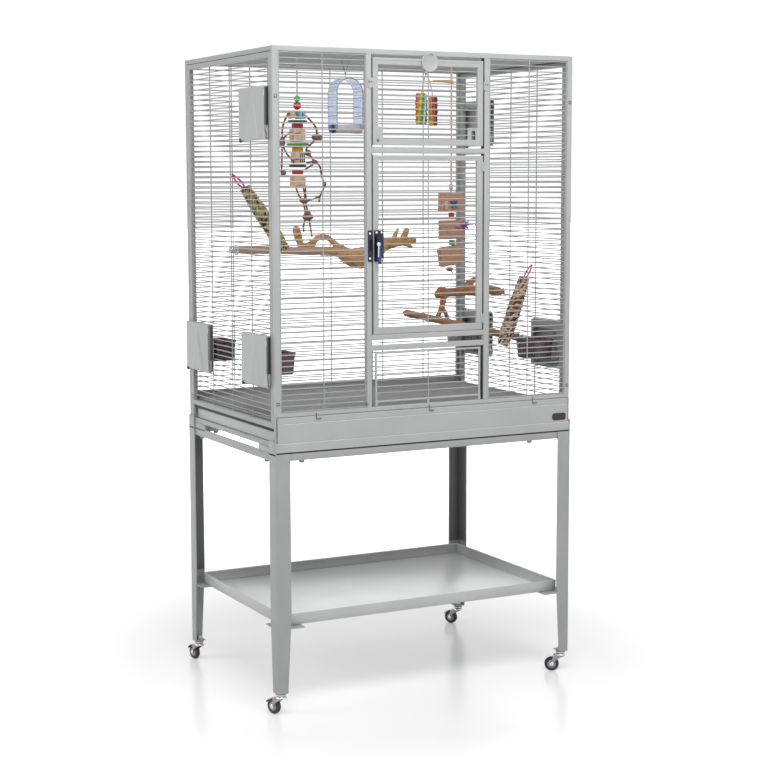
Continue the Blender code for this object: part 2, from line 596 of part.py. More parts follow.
def make_cup(name, sx, sy):
    """Tapered plastic feeding cup with a rolled rim."""
    centre = Vector((sx * sum(CUP_X) / 2, sy * sum(CUP_Y) / 2, 0))
    half_x, half_y = (CUP_X[1] - CUP_X[0]) / 2, (CUP_Y[1] - CUP_Y[0]) / 2
    low, high = CUP_Z
    wall = 0.0025
    rows = [(0.0060, low), (0.0020, high - 0.0050), (0.0, high - 0.0045), (0.0, high),
            (wall + 0.0010, high), (0.0060 + wall, low + wall)]
    shape = bmesh.new()
    rings = []
    for inset, z in rows:
        outline = rounded_outline(half_x - inset, half_y - inset, 0.0120)
        rings.append([shape.verts.new(centre + Vector((u, v, z))) for u, v in outline])
    count = len(rings[0])
    for lower, upper in zip(rings, rings[1:]):
        for i in range(count):
            j = (i + 1) % count
            shape.faces.new((lower[i], lower[j], upper[j], upper[i]))
    shape.faces.new(rings[0])
    shape.faces.new(rings[-1])
    cup = new_object(name, shape)
    finish(cup, BROWN_PLASTIC, smooth=True)
    set_origin(cup, (centre.x, centre.y, low))


# ---------------------------------------------------------------- perches and toys
def make_wall_perch(name, sx, free_end, wall_y, wall_z):
    """Turned perch held to a side wall by a bolt, a washer and a wing nut."""
    inner = Vector((sx * 0.3905, wall_y, wall_z))
    washer = rod((sx * 0.3925, wall_y, wall_z), (sx * 0.3895, wall_y, wall_z), 0.0130, 14)
    bar = rod(inner, free_end, 0.0090, 14)
    bolt = rod((sx * 0.3915, wall_y, wall_z), (sx * 0.4100, wall_y, wall_z), 0.0030, 8)
    nut = rod((sx * 0.4035, wall_y, wall_z), (sx * 0.4085, wall_y, wall_z), 0.0090, 12)
    return finish(combine(name, bar, [washer, bolt, nut]), DOWEL, smooth=True)


def make_branch(name, limbs, mount):
    """Driftwood of tapered limbs, each from a point and radius to another, with its bolt."""
    solids = [rod(start, end, radius, 8, end_radius) for start, radius, end, end_radius in limbs]
    bolts = [rod(start, end, radius, 8) for start, end, radius in mount]
    return finish(combine(name, solids[0], solids[1:] + bolts), DRIFTWOOD)


def make_branches():
    y = 0.050
    left = [((-0.1994, y, 1.1250), 0.0100, (-0.1845, y, 1.0850), 0.0090),
            ((-0.1865, y, 1.0855), 0.0085, (-0.1590, y, 1.0910), 0.0080),
            ((-0.1640, y, 1.0890), 0.0082, (-0.1245, y, 1.1105), 0.0070),
            ((-0.1280, y, 1.1112), 0.0070, (-0.0642, y, 1.0745), 0.0085),
            ((-0.1500, y, 1.0805), 0.0055, (-0.0700, y, 1.0660), 0.0180),
            ((-0.0720, y, 1.0655), 0.0185, (-0.0250, y, 1.0530), 0.0275),
            ((-0.0270, y, 1.0537), 0.0280, (-0.0020, y, 1.0560), 0.0260),
            ((-0.0050, y, 1.0558), 0.0262, (0.0500, y, 1.0870), 0.0165),
            ((0.0470, y, 1.0866), 0.0162, (0.1387, y, 1.0955), 0.0065),
            ((0.0780, y, 1.1000), 0.0080, (0.0878, y, 1.1270), 0.0040),
            ((0.1030, y, 1.0980), 0.0090, (0.1138, y, 1.1230), 0.0080),
            ((0.1020, y, 1.0890), 0.0060, (0.1281, y, 1.0785), 0.0045)]
    bars = wall_levels()
    back_z = min(((a + b) / 2 for a, b in zip(bars, bars[1:])), key=lambda z: abs(z - 1.060))
    back = [((-0.030, y + 0.012, back_z), (-0.030, 0.2600, back_z), 0.0100)]
    make_branch("branch_perch_left", left, back)

    wall_z = between_bars(0.960)
    right = [((0.3905, y, wall_z), 0.0130, (0.300, y, 0.962), 0.0120),
             ((0.310, y, 0.962), 0.0120, (0.205, y, 0.950), 0.0100),
             ((0.300, y, 0.960), 0.0130, (0.312, y + 0.002, 0.992), 0.0090),
             ((0.222, y, 0.953), 0.0100, (0.214, y, 0.912), 0.0080),
             ((0.215, y, 0.920), 0.0080, (0.196, y - 0.002, 0.884), 0.0060),
             ((0.214, y, 0.918), 0.0080, (0.236, y + 0.002, 0.884), 0.0060)]
    bolt = [((0.3895, y, wall_z), (0.4100, y, wall_z), 0.0030),
            ((0.4035, y, wall_z), (0.4085, y, wall_z), 0.0090)]
    make_branch("branch_perch_right", right, bolt)


def make_seed_stick(name, top, bottom, radius, wall_point):
    """Woven chew stick, slimmer at its ends, with a loop of cord to the side wall."""
    top, bottom = Vector(top), Vector(bottom)
    along = top - bottom
    length = along.length
    place = Matrix.Translation(bottom) @ along.to_track_quat("Z", "Y").to_matrix().to_4x4()
    profile = [(0, 0), (radius * 0.78, 0), (radius, 0.040), (radius, 0.65 * length),
               (radius * 0.74, length), (0, length)]
    loop = rod(wall_point, top - along.normalized() * 0.004, 0.0030, 8)
    return finish(combine(name, turned(profile, place, 14), [loop]), SEED)


def strung(name, look, line, line_radius, beads, pivot):
    """Toy threaded on a line. beads holds boxes and rods that the line passes through."""
    string = rod(line[0], line[1], line_radius, 8)
    toy = finish(combine(name, string, beads), look)
    set_origin(toy, pivot)


def make_toys():
    x = -0.217
    beads = [rod((x, 0, z0), (x, 0, z1), radius, 12) for z0, z1, radius in
             ((1.4395, 1.4550, 0.0085), (1.4220, 1.4385, 0.0105), (1.3870, 1.3960, 0.0240),
              (1.3760, 1.3865, 0.0140), (1.3310, 1.3420, 0.0270), (1.3180, 1.3300, 0.0140),
              (1.2790, 1.2900, 0.0210), (1.2625, 1.2780, 0.0140), (1.1550, 1.1700, 0.0120))]
    beads += [box((x - 0.020, x + 0.020), (-0.012, 0.012), (1.3975, 1.4200)),
              box((x - 0.016, x + 0.016), (-0.014, 0.014), (1.3440, 1.3740)),
              box((x - 0.013, x + 0.013), (-0.013, 0.013), (1.2920, 1.3160)),
              box((x - 0.015, x + 0.015), (-0.015, 0.015), (1.2330, 1.2610))]
    strung("bead_toy", TOY, ((x, 0, 1.1100), (x, 0, HANG_Z)), 0.0030, beads, (x, 0, HANG_Z))

    x = 0.216
    blocks = [box((x - 0.031, x + 0.031), (-0.012, 0.012), (1.1680, 1.2170)),
              rod((x, 0, 1.1555), (x, 0, 1.1670), 0.0080, 12),
              box((x - 0.033, x + 0.033), (-0.012, 0.012), (1.0990, 1.1470)),
              rod((x, 0, 1.0820), (x, 0, 1.0970), 0.0080, 12),
              box((x - 0.033, x + 0.033), (-0.012, 0.012), (1.0330, 1.0800)),
              rod((x, 0, 1.0180), (x, 0, 1.0300), 0.0080, 12)]
    strung("block_toy", TOY, ((x, 0, 1.0060), (x, 0, HANG_Z)), 0.0035, blocks, (x, 0, HANG_Z))

    x = 0.142
    pair = [rod((0.128, 0, 1.3900), (0.128, 0, 1.4680), 0.0165, 14),
            rod((0.163, 0, 1.3860), (0.163, 0, 1.4610), 0.0130, 14),
            rod((x, 0, 1.5180), (0.128, 0, 1.4620), 0.0020, 8),
            rod((x, 0, 1.5180), (0.163, 0, 1.4550), 0.0020, 8)]
    strung("woven_toy", TOY, ((x, 0, 1.5160), (x, 0, HANG_Z)), 0.0025, pair, (x, 0, HANG_Z))
    make_swing()


def make_swing():
    """Arched plastic swing with a perch across it, hung from a wire hook."""
    x, half, crown = -0.0855, 0.0430, 1.4560
    perch = rod((x - half - 0.006, 0, 1.3780), (x + half + 0.006, 0, 1.3780), 0.0090, 14)
    arch = [Vector((x + half * math.cos(math.pi * i / 12), 0, crown + half * math.sin(math.pi * i / 12)))
            for i in range(13)]
    spine = [Vector((x + half, 0, 1.3700))] + arch + [Vector((x - half, 0, 1.3700))]
    shape = bmesh.new()
    rings = []
    for i, point in enumerate(spine):
        before, after = spine[max(i - 1, 0)], spine[min(i + 1, len(spine) - 1)]
        across = (after - before).normalized().cross(Vector((0, 1, 0)))
        corners = [(-0.0035, -0.0045), (0.0035, -0.0045), (0.0035, 0.0045), (-0.0035, 0.0045)]
        rings.append([shape.verts.new(point + across * u + Vector((0, v, 0))) for u, v in corners])
    for lower, upper in zip(rings, rings[1:]):
        for i in range(4):
            shape.faces.new((lower[i], lower[(i + 1) % 4], upper[(i + 1) % 4], upper[i]))
    shape.faces.new(rings[0])
    shape.faces.new(rings[-1])
    bow = new_object("bow", shape)
    hook = rod((x, 0, crown + half - 0.002), (x, 0, HANG_Z), 0.0015, 8)
    swing = finish(combine("swing", bow, [perch, hook]), BLUE_PLASTIC)
    set_origin(swing, (x, 0, HANG_Z))


def main():
    clear_scene()
    for corner, (sx, sy, heading) in CASTERS.items():
        make_leg("leg_" + corner, sx, sy)
        make_caster(corner, sx, sy, heading)
    make_side_rail("stand_rail_left", -1)
    make_side_rail("stand_rail_right", 1)
    make_end_rail("stand_rail_front", -1)
    make_end_rail("stand_rail_back", 1)
    make_shelf()
    make_base()
    make_tray()
    make_grate()
    make_side_panel("left_panel", -1, LEFT_HOODS)
    make_side_panel("right_panel", 1, RIGHT_HOODS)
    make_back_panel()
    make_top_panel()
    make_front_frame()
    make_front_grille("front_left_grille", -1)
    make_front_grille("front_right_grille", 1)
    make_doors()
    make_latches()
    for side, sx, hoods in (("left", -1, LEFT_HOODS), ("right", 1, RIGHT_HOODS)):
        for level, end in hoods:
            make_hood("feeder_door_%s_%s_%s" % (side, level, end), sx, level, end)
        for end, sy in (("front", -1), ("rear", 1)):
            make_cup("feeder_cup_%s_%s" % (side, end), sx, sy)
    make_wall_perch("dowel_perch_left", -1, (-0.147, -0.007, 1.076), -0.020, between_bars(1.078))
    make_wall_perch("dowel_perch_right", 1, (0.075, 0.000, 0.915), -0.045, between_bars(0.835))
    make_branches()
    make_seed_stick("seed_stick_left", (-0.3635, -0.012, 1.2326), (-0.2727, -0.043, 1.0818), 0.0195,
                    (-0.3930, -0.0045, 1.2649))
    make_seed_stick("seed_stick_right", (0.3693, -0.112, 1.0016), (0.3107, -0.102, 0.8274), 0.0200,
                    (0.3930, -0.110, 1.0330))
    make_toys()


main()
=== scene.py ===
"""Looks of the flight cage on its stand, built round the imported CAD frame.

Metres, in the frame's own axes: X along the front, the front faces -Y, Z up.
Every wall is drawn in a plane of its own, with u across, v up and w out of the cage.
"""
import math
import random

import bmesh
import bpy
from mathutils import Matrix, Vector, noise


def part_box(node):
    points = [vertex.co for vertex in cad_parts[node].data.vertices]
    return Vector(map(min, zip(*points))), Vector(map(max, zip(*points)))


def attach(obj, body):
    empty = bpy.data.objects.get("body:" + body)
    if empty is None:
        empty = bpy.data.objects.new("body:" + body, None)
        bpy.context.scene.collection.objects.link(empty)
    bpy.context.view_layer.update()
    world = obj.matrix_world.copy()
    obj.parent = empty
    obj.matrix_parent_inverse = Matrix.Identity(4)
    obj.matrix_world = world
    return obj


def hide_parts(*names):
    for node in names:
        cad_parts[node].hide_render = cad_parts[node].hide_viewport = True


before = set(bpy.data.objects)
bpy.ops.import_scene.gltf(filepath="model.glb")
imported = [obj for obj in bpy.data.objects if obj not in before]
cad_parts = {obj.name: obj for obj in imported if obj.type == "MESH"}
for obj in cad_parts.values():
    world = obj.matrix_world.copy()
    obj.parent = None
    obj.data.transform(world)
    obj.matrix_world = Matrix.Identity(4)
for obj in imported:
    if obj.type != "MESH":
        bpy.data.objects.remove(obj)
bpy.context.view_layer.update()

# ---------------------------------------------------------------- driving dimensions
HALF_W = 0.4025          # half the width of the cage body
HALF_D = 0.2725          # half its depth
HEIGHT = 1.550           # floor to roof
TUBE = 0.012             # square tube of the walls
POST = 0.017             # width of a front corner post
STILE = 0.016            # width of a wall's upright
TOP_Z = HEIGHT - 0.012
SIDE_TOP_Z = HEIGHT - 0.024
WIRE_R = 0.00140         # radius of a wire
WELD = 0.0017            # distance between the planes of crossing wires
WALL_PITCH = 0.0128
FRONT_PITCH = 0.0132
DOOR_PITCH = 0.0150
FLOOR_PITCH = 0.0127
WIRE_ZONE_Z = 0.6920
FRONT_Z = (0.7070, 0.7170)
RAILS_Z = ((0.8500, 0.8630), (0.8750, 0.8880), (1.3120, 1.3240))
CENTRE_POSTS = ((-0.1700, -0.1530), (0.1515, 0.1685))
RIM = 0.0030             # border of a front grille, which narrows its post by as much
HANG_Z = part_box("swing")[1].z
HOOD_DEPTH = 0.0120
CORNERS = {"front_left": (-1, -1, 113.0), "back_left": (-1, 1, 102.0),
           "front_right": (1, -1, 148.0), "back_right": (1, 1, 122.0)}

# caster: how far the axle lies behind the stem, the wheel's radius and half its width
TRAIL, WHEEL_R, WHEEL_HALF = 0.0220, 0.0185, 0.0060

# feeder hoods: their heights, and where each side wall has them
HOOD_Z = {"upper": (1.3405, 1.4625), "lower": (0.7735, 0.8945)}
HOODS = {"left": (("upper", "front"), ("lower", "front"), ("lower", "rear")),
         "right": (("upper", "rear"), ("lower", "front"), ("lower", "rear"))}
# how often each of a chew stick's three strips is drawn
STRIP_WEIGHTS = (5, 4, 3)

# planes of the five wire walls: local u, v, w to the world
FRONT = Matrix(((1, 0, 0, 0), (0, 0, -1, -HALF_D), (0, 1, 0, 0), (0, 0, 0, 1)))
BACK = Matrix(((-1, 0, 0, 0), (0, 0, 1, HALF_D), (0, 1, 0, 0), (0, 0, 0, 1)))
LEFT = Matrix(((0, 0, -1, -HALF_W), (-1, 0, 0, 0), (0, 1, 0, 0), (0, 0, 0, 1)))
RIGHT = Matrix(((0, 0, 1, HALF_W), (1, 0, 0, 0), (0, 1, 0, 0), (0, 0, 0, 1)))
ROOF = Matrix(((1, 0, 0, 0), (0, 1, 0, 0), (0, 0, 1, HEIGHT), (0, 0, 0, 1)))
WORLD = Matrix.Identity(4)


# ---------------------------------------------------------------- materials
class Nodes:
    """A Principled material with short calls for the nodes that give it its detail."""

    def __init__(self, name, colour, roughness, metallic=0.0, specular=0.5):
        self.material = bpy.data.materials.new(name)
        self.material.use_nodes = True
        self.tree = self.material.node_tree
        self.shader = self.tree.nodes["Principled BSDF"]
        self.colour = (*colour, 1.0)
        self.shader.inputs["Base Color"].default_value = self.colour
        self.shader.inputs["Roughness"].default_value = roughness
        self.shader.inputs["Metallic"].default_value = metallic
        self.shader.inputs["Specular IOR Level"].default_value = specular
        self.material.diffuse_color = self.colour
        self.bumps = None

    def node(self, kind, **values):
        made = self.tree.nodes.new(kind)
        for key, value in values.items():
            if key in made.inputs:
                made.inputs[key].default_value = value
            else:
                setattr(made, key, value)
        return made

    def link(self, start, end):
        self.tree.links.new(start, end)

    def coordinates(self, stretch=(1, 1, 1)):
        place = self.node("ShaderNodeMapping")
        place.inputs["Scale"].default_value = stretch
        self.link(self.node("ShaderNodeTexCoord").outputs["Object"], place.inputs["Vector"])
        return place.outputs["Vector"]

    def noise(self, scale, detail=3.0, stretch=(1, 1, 1), distortion=0.0):
        made = self.node("ShaderNodeTexNoise", Scale=scale, Detail=detail, Distortion=distortion)
        self.link(self.coordinates(stretch), made.inputs["Vector"])
        return made.outputs["Fac"]

    def ramp(self, source, stops):
        made = self.node("ShaderNodeValToRGB")
        points = made.color_ramp.elements
        for i, (position, colour) in enumerate(stops):
            point = points[i] if i < 2 else points.new(position)
            point.position = position
            point.color = (*colour, 1.0)
        self.link(source, made.inputs["Fac"])
        return made.outputs["Color"]

    def paint(self, source, stops):
        self.link(self.ramp(source, stops), self.shader.inputs["Base Color"])

    def gloss(self, source, low, high):
        span = self.node("ShaderNodeMapRange")
        span.inputs["To Min"].default_value = low
        span.inputs["To Max"].default_value = high
        self.link(source, span.inputs["Value"])
        self.link(span.outputs["Result"], self.shader.inputs["Roughness"])

    def bump(self, source, strength, distance):
        made = self.node("ShaderNodeBump", Strength=strength, Distance=distance)
        self.link(source, made.inputs["Height"])
        if self.bumps:
            self.link(self.bumps, made.inputs["Normal"])
        self.bumps = made.outputs["Normal"]
        self.link(self.bumps, self.shader.inputs["Normal"])


def shades(colour, spread):
    """A darker and a lighter version of a colour."""
    return [tuple(max(0.0, c * (1 - spread)) for c in colour),
            tuple(min(1.0, c * (1 + spread)) for c in colour)]


def powder_coat(name, colour, roughness=0.42):
    """Baked powder: fine orange peel, faint clouding, a slow change of sheen."""
    made = Nodes(name, colour, roughness, metallic=0.05, specular=0.35)
    low, high = shades(colour, 0.035)
    made.paint(made.noise(9.0, 4.0), [(0.35, low), (0.65, high)])
    made.gloss(made.noise(60.0), roughness - 0.05, roughness + 0.07)
    made.bump(made.noise(1400.0, 2.0), 0.10, 0.0002)
    made.bump(made.noise(220.0, 2.0), 0.05, 0.0003)
    return made.material


def plated(name, colour, roughness):
    made = Nodes(name, colour, roughness, metallic=1.0)
    low, high = shades(colour, 0.06)
    made.paint(made.noise(40.0), [(0.3, low), (0.7, high)])
    made.gloss(made.noise(300.0), roughness * 0.7, roughness * 1.5)
    made.bump(made.noise(90.0), 0.05, 0.0002)
    return made.material


def moulded(name, colour, roughness=0.35, clear=0.0):
    """Injection-moulded plastic, smoky or clear where light passes through it."""
    made = Nodes(name, colour, roughness)
    low, high = shades(colour, 0.08)
    made.paint(made.noise(25.0), [(0.3, low), (0.7, high)])
    made.gloss(made.noise(150.0), roughness * 0.8, roughness * 1.2)
    made.bump(made.noise(700.0), 0.06, 0.0002)
    made.shader.inputs["Transmission Weight"].default_value = clear
    made.shader.inputs["IOR"].default_value = 1.46
    return made.material


def rubber(name, colour):
    made = Nodes(name, colour, 0.5)
    low, high = shades(colour, 0.3)
    made.paint(made.noise(80.0), [(0.3, low), (0.7, high)])
    made.gloss(made.noise(120.0), 0.38, 0.6)
    made.bump(made.noise(900.0), 0.2, 0.0003)
    return made.material


def timber(name, colour, stretch, dark=0.22, roughness=0.62):
    """Sanded wood. stretch squeezes the grain along the piece."""
    grain = 260.0
    made = Nodes(name, colour, roughness)
    low, high = shades(colour, dark)
    streaks = made.noise(grain, 6.0, stretch, 0.6)
    made.paint(streaks, [(0.30, low), (0.52, colour), (0.75, high)])
    made.gloss(made.noise(grain * 0.5, 3.0, stretch), roughness - 0.1, roughness + 0.12)
    made.bump(streaks, 0.25, 0.0005)
    return made.material


def bare_branch(name, colour, dark_colour):
    """Sand-blasted branch: long fissures, darker hollows and pale ridges."""
    made = Nodes(name, colour, 0.7)
    fissures = made.noise(70.0, 8.0, (0.30, 1, 1), 1.4)
    made.paint(fissures, [(0.28, dark_colour), (0.45, colour), (0.72, shades(colour, 0.25)[1])])
    made.gloss(made.noise(120.0), 0.55, 0.85)
    made.bump(fissures, 0.8, 0.002)
    made.bump(made.noise(500.0, 4.0), 0.3, 0.0006)
    return made.material


def fibre(name, colour):
    """Dyed palm or paper strip."""
    made = Nodes(name, colour, 0.75)
    low, high = shades(colour, 0.30)
    threads = made.noise(500.0, 4.0, (1, 1, 0.25))
    made.paint(threads, [(0.3, low), (0.7, high)])
    made.gloss(made.noise(200.0), 0.6, 0.9)
    made.bump(threads, 0.5, 0.0006)
    return made.material


def cotton(name, colour):
    made = Nodes(name, colour, 0.85)
    low, high = shades(colour, 0.18)
    twist = made.noise(700.0, 3.0, (1, 1, 0.5))
    made.paint(twist, [(0.3, low), (0.7, high)])
    made.gloss(twist, 0.75, 0.95)
    made.bump(twist, 0.6, 0.0008)
    return made.material


GREY = powder_coat("powder_grey", (0.35, 0.355, 0.355))
COVER = powder_coat("powder_cover", (0.42, 0.425, 0.425))
SHADE = powder_coat("powder_shade", (0.12, 0.122, 0.122), 0.6)
# near-black painted shade for narrow gaps, slits and recesses
PAINTED_SHADE_BLACK = powder_coat("door_stop_black", (0.02, 0.02, 0.022), 0.6)
PALE = powder_coat("powder_pale_grey", (0.42, 0.425, 0.425), 0.40)
WIRE = powder_coat("powder_wire", (0.36, 0.365, 0.365), 0.45)
FRONT_WIRE = powder_coat("powder_front_wire", (0.36, 0.365, 0.365), 0.38)
STAND = powder_coat("powder_stand", (0.36, 0.365, 0.365))
# painted highlight for the rounded top edges of the front strips
PAINTED_HIGHLIGHT = powder_coat("painted_highlight_edge", (0.62, 0.625, 0.625))
# painted shade for the inside of the back legs
PAINTED_LEG_SHADE = powder_coat("painted_leg_shade", (0.14, 0.142, 0.142), 0.5)
TRAY = powder_coat("powder_tray", (0.44, 0.445, 0.445), 0.40)
FLOOR = powder_coat("powder_floor", (0.26, 0.265, 0.265), 0.45)
STAND_SHELF = powder_coat("powder_shelf", (0.50, 0.505, 0.505), 0.34)
# painted light for the shelf's top face
SHELF_FLOOR_PAINTED_LIGHT = powder_coat("shelf_floor_painted_light", (0.80, 0.805, 0.805), 0.30)
FLOOR_WIRE = powder_coat("powder_floor_wire", (0.42, 0.425, 0.425), 0.42)
CHROME = plated("chrome", (0.62, 0.60, 0.61), 0.14)
YOKE = plated("yoke_chrome", (0.30, 0.27, 0.29), 0.20)
ZINC = plated("zinc", (0.45, 0.46, 0.48), 0.30)
ZINC_DARK = plated("dark_hook", (0.16, 0.16, 0.17), 0.35)
STEEL = plated("bright_rivet", (0.62, 0.64, 0.74), 0.28)
BLUED = powder_coat("blued_steel", (0.014, 0.012, 0.026), 0.25)
LEVER = powder_coat("lever_blue", (0.050, 0.055, 0.19), 0.22)
RUBBER = rubber("tyre_rubber", (0.018, 0.016, 0.020))
HUB = moulded("hub_grey", (0.42, 0.40, 0.43), 0.4)
BLACK = moulded("black_plastic", (0.02, 0.02, 0.022), 0.4)
BADGE = moulded("badge_plum", (0.014, 0.006, 0.009), 0.45)
CUP = moulded("smoky_brown", (0.105, 0.070, 0.078), 0.28, 0.15)
CLEAR_BLUE = moulded("clear_blue", (0.66, 0.72, 0.97), 0.12, 0.85)
RIM_BLUE = moulded("rim_blue", (0.13, 0.16, 0.48), 0.2, 0.2)
RUNG_BLUE = moulded("rung_blue", (0.36, 0.42, 0.80), 0.2, 0.55)
NAVY = moulded("navy_plastic", (0.05, 0.06, 0.22), 0.25)
CLEAR_PINK = moulded("clear_perch", (0.72, 0.66, 0.69), 0.25, 0.35)
DOWEL = timber("dowel_wood", (0.46, 0.29, 0.22), (0.05, 1, 1), 0.12)
DOWEL_BROWN = timber("dowel_brown", (0.33, 0.18, 0.11), (0.05, 1, 1), 0.12)
BARK = bare_branch("branch_wood", (0.52, 0.29, 0.12), (0.22, 0.10, 0.04))
RED_BARK = bare_branch("branch_red", (0.36, 0.16, 0.075), (0.13, 0.05, 0.025))
BLOCK = timber("block_wood", (0.50, 0.27, 0.17), (1, 1, 0.12), 0.14)
PINE = timber("pale_wood", (0.66, 0.48, 0.32), (1, 1, 0.12), 0.18)
PEG = timber("peg_wood", (0.66, 0.42, 0.24), (0.12, 1, 1), 0.2)
RED = timber("red_wood", (0.42, 0.012, 0.03), (1, 1, 0.2), 0.25, 0.4)
GREEN = timber("green_wood", (0.10, 0.26, 0.05), (1, 1, 0.2), 0.3, 0.5)
DARK_GREEN = timber("dark_green_wood", (0.015, 0.09, 0.05), (1, 1, 0.2), 0.3, 0.5)
YELLOW = timber("yellow_wood", (0.72, 0.34, 0.02), (1, 1, 0.2), 0.2, 0.5)
DARK = timber("black_wood", (0.02, 0.028, 0.022), (1, 1, 0.2), 0.3, 0.5)
SKY = timber("sky_wood", (0.30, 0.46, 0.62), (1, 1, 0.2), 0.2, 0.5)
NUT = timber("nut_brown", (0.24, 0.105, 0.075), (1, 0.3, 1), 0.5, 0.45)
BRIGHT_GREEN = moulded("green_bead", (0.01, 0.50, 0.10), 0.25)
BRIGHT_RED = moulded("red_bead", (0.55, 0.01, 0.03), 0.22)
PURPLE = moulded("purple_bead", (0.16, 0.05, 0.34), 0.25)
TEAL = moulded("teal_bead", (0.04, 0.30, 0.22), 0.3)
VINE = fibre("vine", (0.17, 0.070, 0.060))
ROPE = cotton("cotton_rope", (0.66, 0.52, 0.40))
STRING = cotton("pale_string", (0.62, 0.56, 0.64))
TOY_CORD = cotton("toy_cord", (0.46, 0.38, 0.42))
PURPLE_CORD = cotton("purple_cord", (0.40, 0.16, 0.46))
PINK = cotton("pink_cord", (0.70, 0.05, 0.32))
WEAVE_LEFT = [fibre("palm_tan", (0.50, 0.38, 0.16)), fibre("palm_olive", (0.30, 0.25, 0.09)),
              fibre("palm_dark", (0.05, 0.035, 0.02))]
WEAVE_RIGHT = [fibre("straw_tan", (0.66, 0.50, 0.36)), fibre("straw_pink", (0.40, 0.22, 0.12)),
               fibre("straw_dark", (0.10, 0.05, 0.03))]
WEAVE_BRIGHT = [fibre("strip_red", (0.60, 0.04, 0.04)), fibre("strip_yellow", (0.75, 0.48, 0.03)),
                fibre("strip_green", (0.05, 0.34, 0.08)), fibre("strip_navy", (0.03, 0.03, 0.14)),
                fibre("strip_orange", (0.68, 0.22, 0.03)), fibre("strip_white", (0.72, 0.70, 0.66))]


# ---------------------------------------------------------------- shapes
def block(u, v, w, radius=0.0010, steps=2):
    """Box between the pairs u, v and w, with rounded edges."""
    low = Vector((min(u), min(v), min(w)))
    high = Vector((max(u), max(v), max(w)))
    part = bmesh.new()
    place = Matrix.Translation((low + high) / 2) @ Matrix.Diagonal((*(high - low), 1.0))
    bmesh.ops.create_cube(part, size=1.0, matrix=place)
    if radius:
        radius = min(radius, 0.45 * min(high - low))
        bmesh.ops.bevel(part, geom=part.edges[:], offset=radius, segments=steps, profile=0.5,
                        affect="EDGES")
    return part


def rod(start, end, radius, sides=10, end_radius=None):
    start, end = Vector(start), Vector(end)
    along = end - start
    turn = along.to_track_quat("Z", "Y").to_matrix().to_4x4()
    part = bmesh.new()
    bmesh.ops.create_cone(
        part, cap_ends=True, segments=sides, radius1=radius,
        radius2=radius if end_radius is None else end_radius, depth=along.length,
        matrix=Matrix.Translation((start + end) / 2) @ turn)
    return part


def ball(centre, radius, squash=(1, 1, 1)):
    part = bmesh.new()
    place = Matrix.Translation(centre) @ Matrix.Diagonal((*squash, 1.0))
    bmesh.ops.create_uvsphere(part, u_segments=16, v_segments=10, radius=radius, matrix=place)
    return part


def smooth_path(points, steps=6):
    """Points of a smooth curve through the given ones."""
    points = [Vector(p) for p in points]
    ends = [2 * points[0] - points[1]] + points + [2 * points[-1] - points[-2]]
    path = []
    for a, b, c, d in zip(ends, ends[1:], ends[2:], ends[3:]):
        for i in range(steps):
            t = i / steps
            path.append(0.5 * (2 * b + (c - a) * t + (2 * a - 5 * b + 4 * c - d) * t * t
                               + (3 * b - a - 3 * c + d) * t ** 3))
    return path + [points[-1]]


def tube(points, radius, sides=8, taper=None):
    """Round tube along a path. taper(t) scales the radius from t = 0 to 1."""
    points = [Vector(p) for p in points]
    part = bmesh.new()
    rings = []
    normal = None
    for i, point in enumerate(points):
        ahead = points[min(i + 1, len(points) - 1)] - points[max(i - 1, 0)]
        ahead.normalize()
        if normal is None:
            normal = ahead.orthogonal().normalized()
        normal = (normal - ahead * normal.dot(ahead)).normalized()
        side = ahead.cross(normal)
        t = i / (len(points) - 1)
        size = radius * (taper(t) if taper else 1.0)
        ring = []
        for k in range(sides):
            angle = 2 * math.pi * k / sides
            ring.append(part.verts.new(point + (normal * math.cos(angle) + side * math.sin(angle)) * size))
        rings.append(ring)
    for a, b in zip(rings, rings[1:]):
        for k in range(sides):
            part.faces.new((a[k], a[(k + 1) % sides], b[(k + 1) % sides], b[k]))
    part.faces.new(rings[0][::-1])
    part.faces.new(rings[-1])
    return part


def turned(profile, sides=24, ring=False):
    """Turns (radius, height) points about w."""
    part = bmesh.new()
    rows = []
    for radius, height in profile:
        if radius < 1e-6:
            rows.append([part.verts.new((0, 0, height))])
            continue
        rows.append([part.verts.new((radius * math.cos(2 * math.pi * k / sides),
                                     radius * math.sin(2 * math.pi * k / sides), height))
                     for k in range(sides)])
    pairs = list(zip(rows, rows[1:])) + ([(rows[-1], rows[0])] if ring else [])
    for a, b in pairs:
        for k in range(sides):
            j = (k + 1) % sides
            corners = [a[k % len(a)], a[j % len(a)], b[j % len(b)], b[k % len(b)]]
            part.faces.new(list(dict.fromkeys(corners)))
    bmesh.ops.recalc_face_normals(part, faces=part.faces)
    return part


def outline(half_u, half_v, radius, steps=5, centre=(0, 0)):
    """Rectangle with round corners."""
    points = []
    for quarter, (cu, cv) in enumerate(((1, 1), (-1, 1), (-1, -1), (1, -1))):
        for i in range(steps):
            angle = math.pi / 2 * (quarter + i / (steps - 1))
            points.append((centre[0] + cu * (half_u - radius) + radius * math.cos(angle),
                           centre[1] + cv * (half_v - radius) + radius * math.sin(angle)))
    return points


def span_outline(u, v, radius, steps=5):
    return outline((u[1] - u[0]) / 2, (v[1] - v[0]) / 2, radius, steps,
                   ((u[0] + u[1]) / 2, (v[0] + v[1]) / 2))


def loft(rings, loop=False):
    """Skin over rings of equal length; loop joins the last ring to the first."""
    part = bmesh.new()
    rows = [[part.verts.new(point) for point in ring] for ring in rings]
    count = len(rows[0])
    pairs = list(zip(rows, rows[1:])) + ([(rows[-1], rows[0])] if loop else [])
    for a, b in pairs:
        for k in range(count):
            part.faces.new((a[k], a[(k + 1) % count], b[(k + 1) % count], b[k]))
    if not loop:
        part.faces.new(rows[0][::-1])
        part.faces.new(rows[-1])
    bmesh.ops.recalc_face_normals(part, faces=part.faces)
    return part


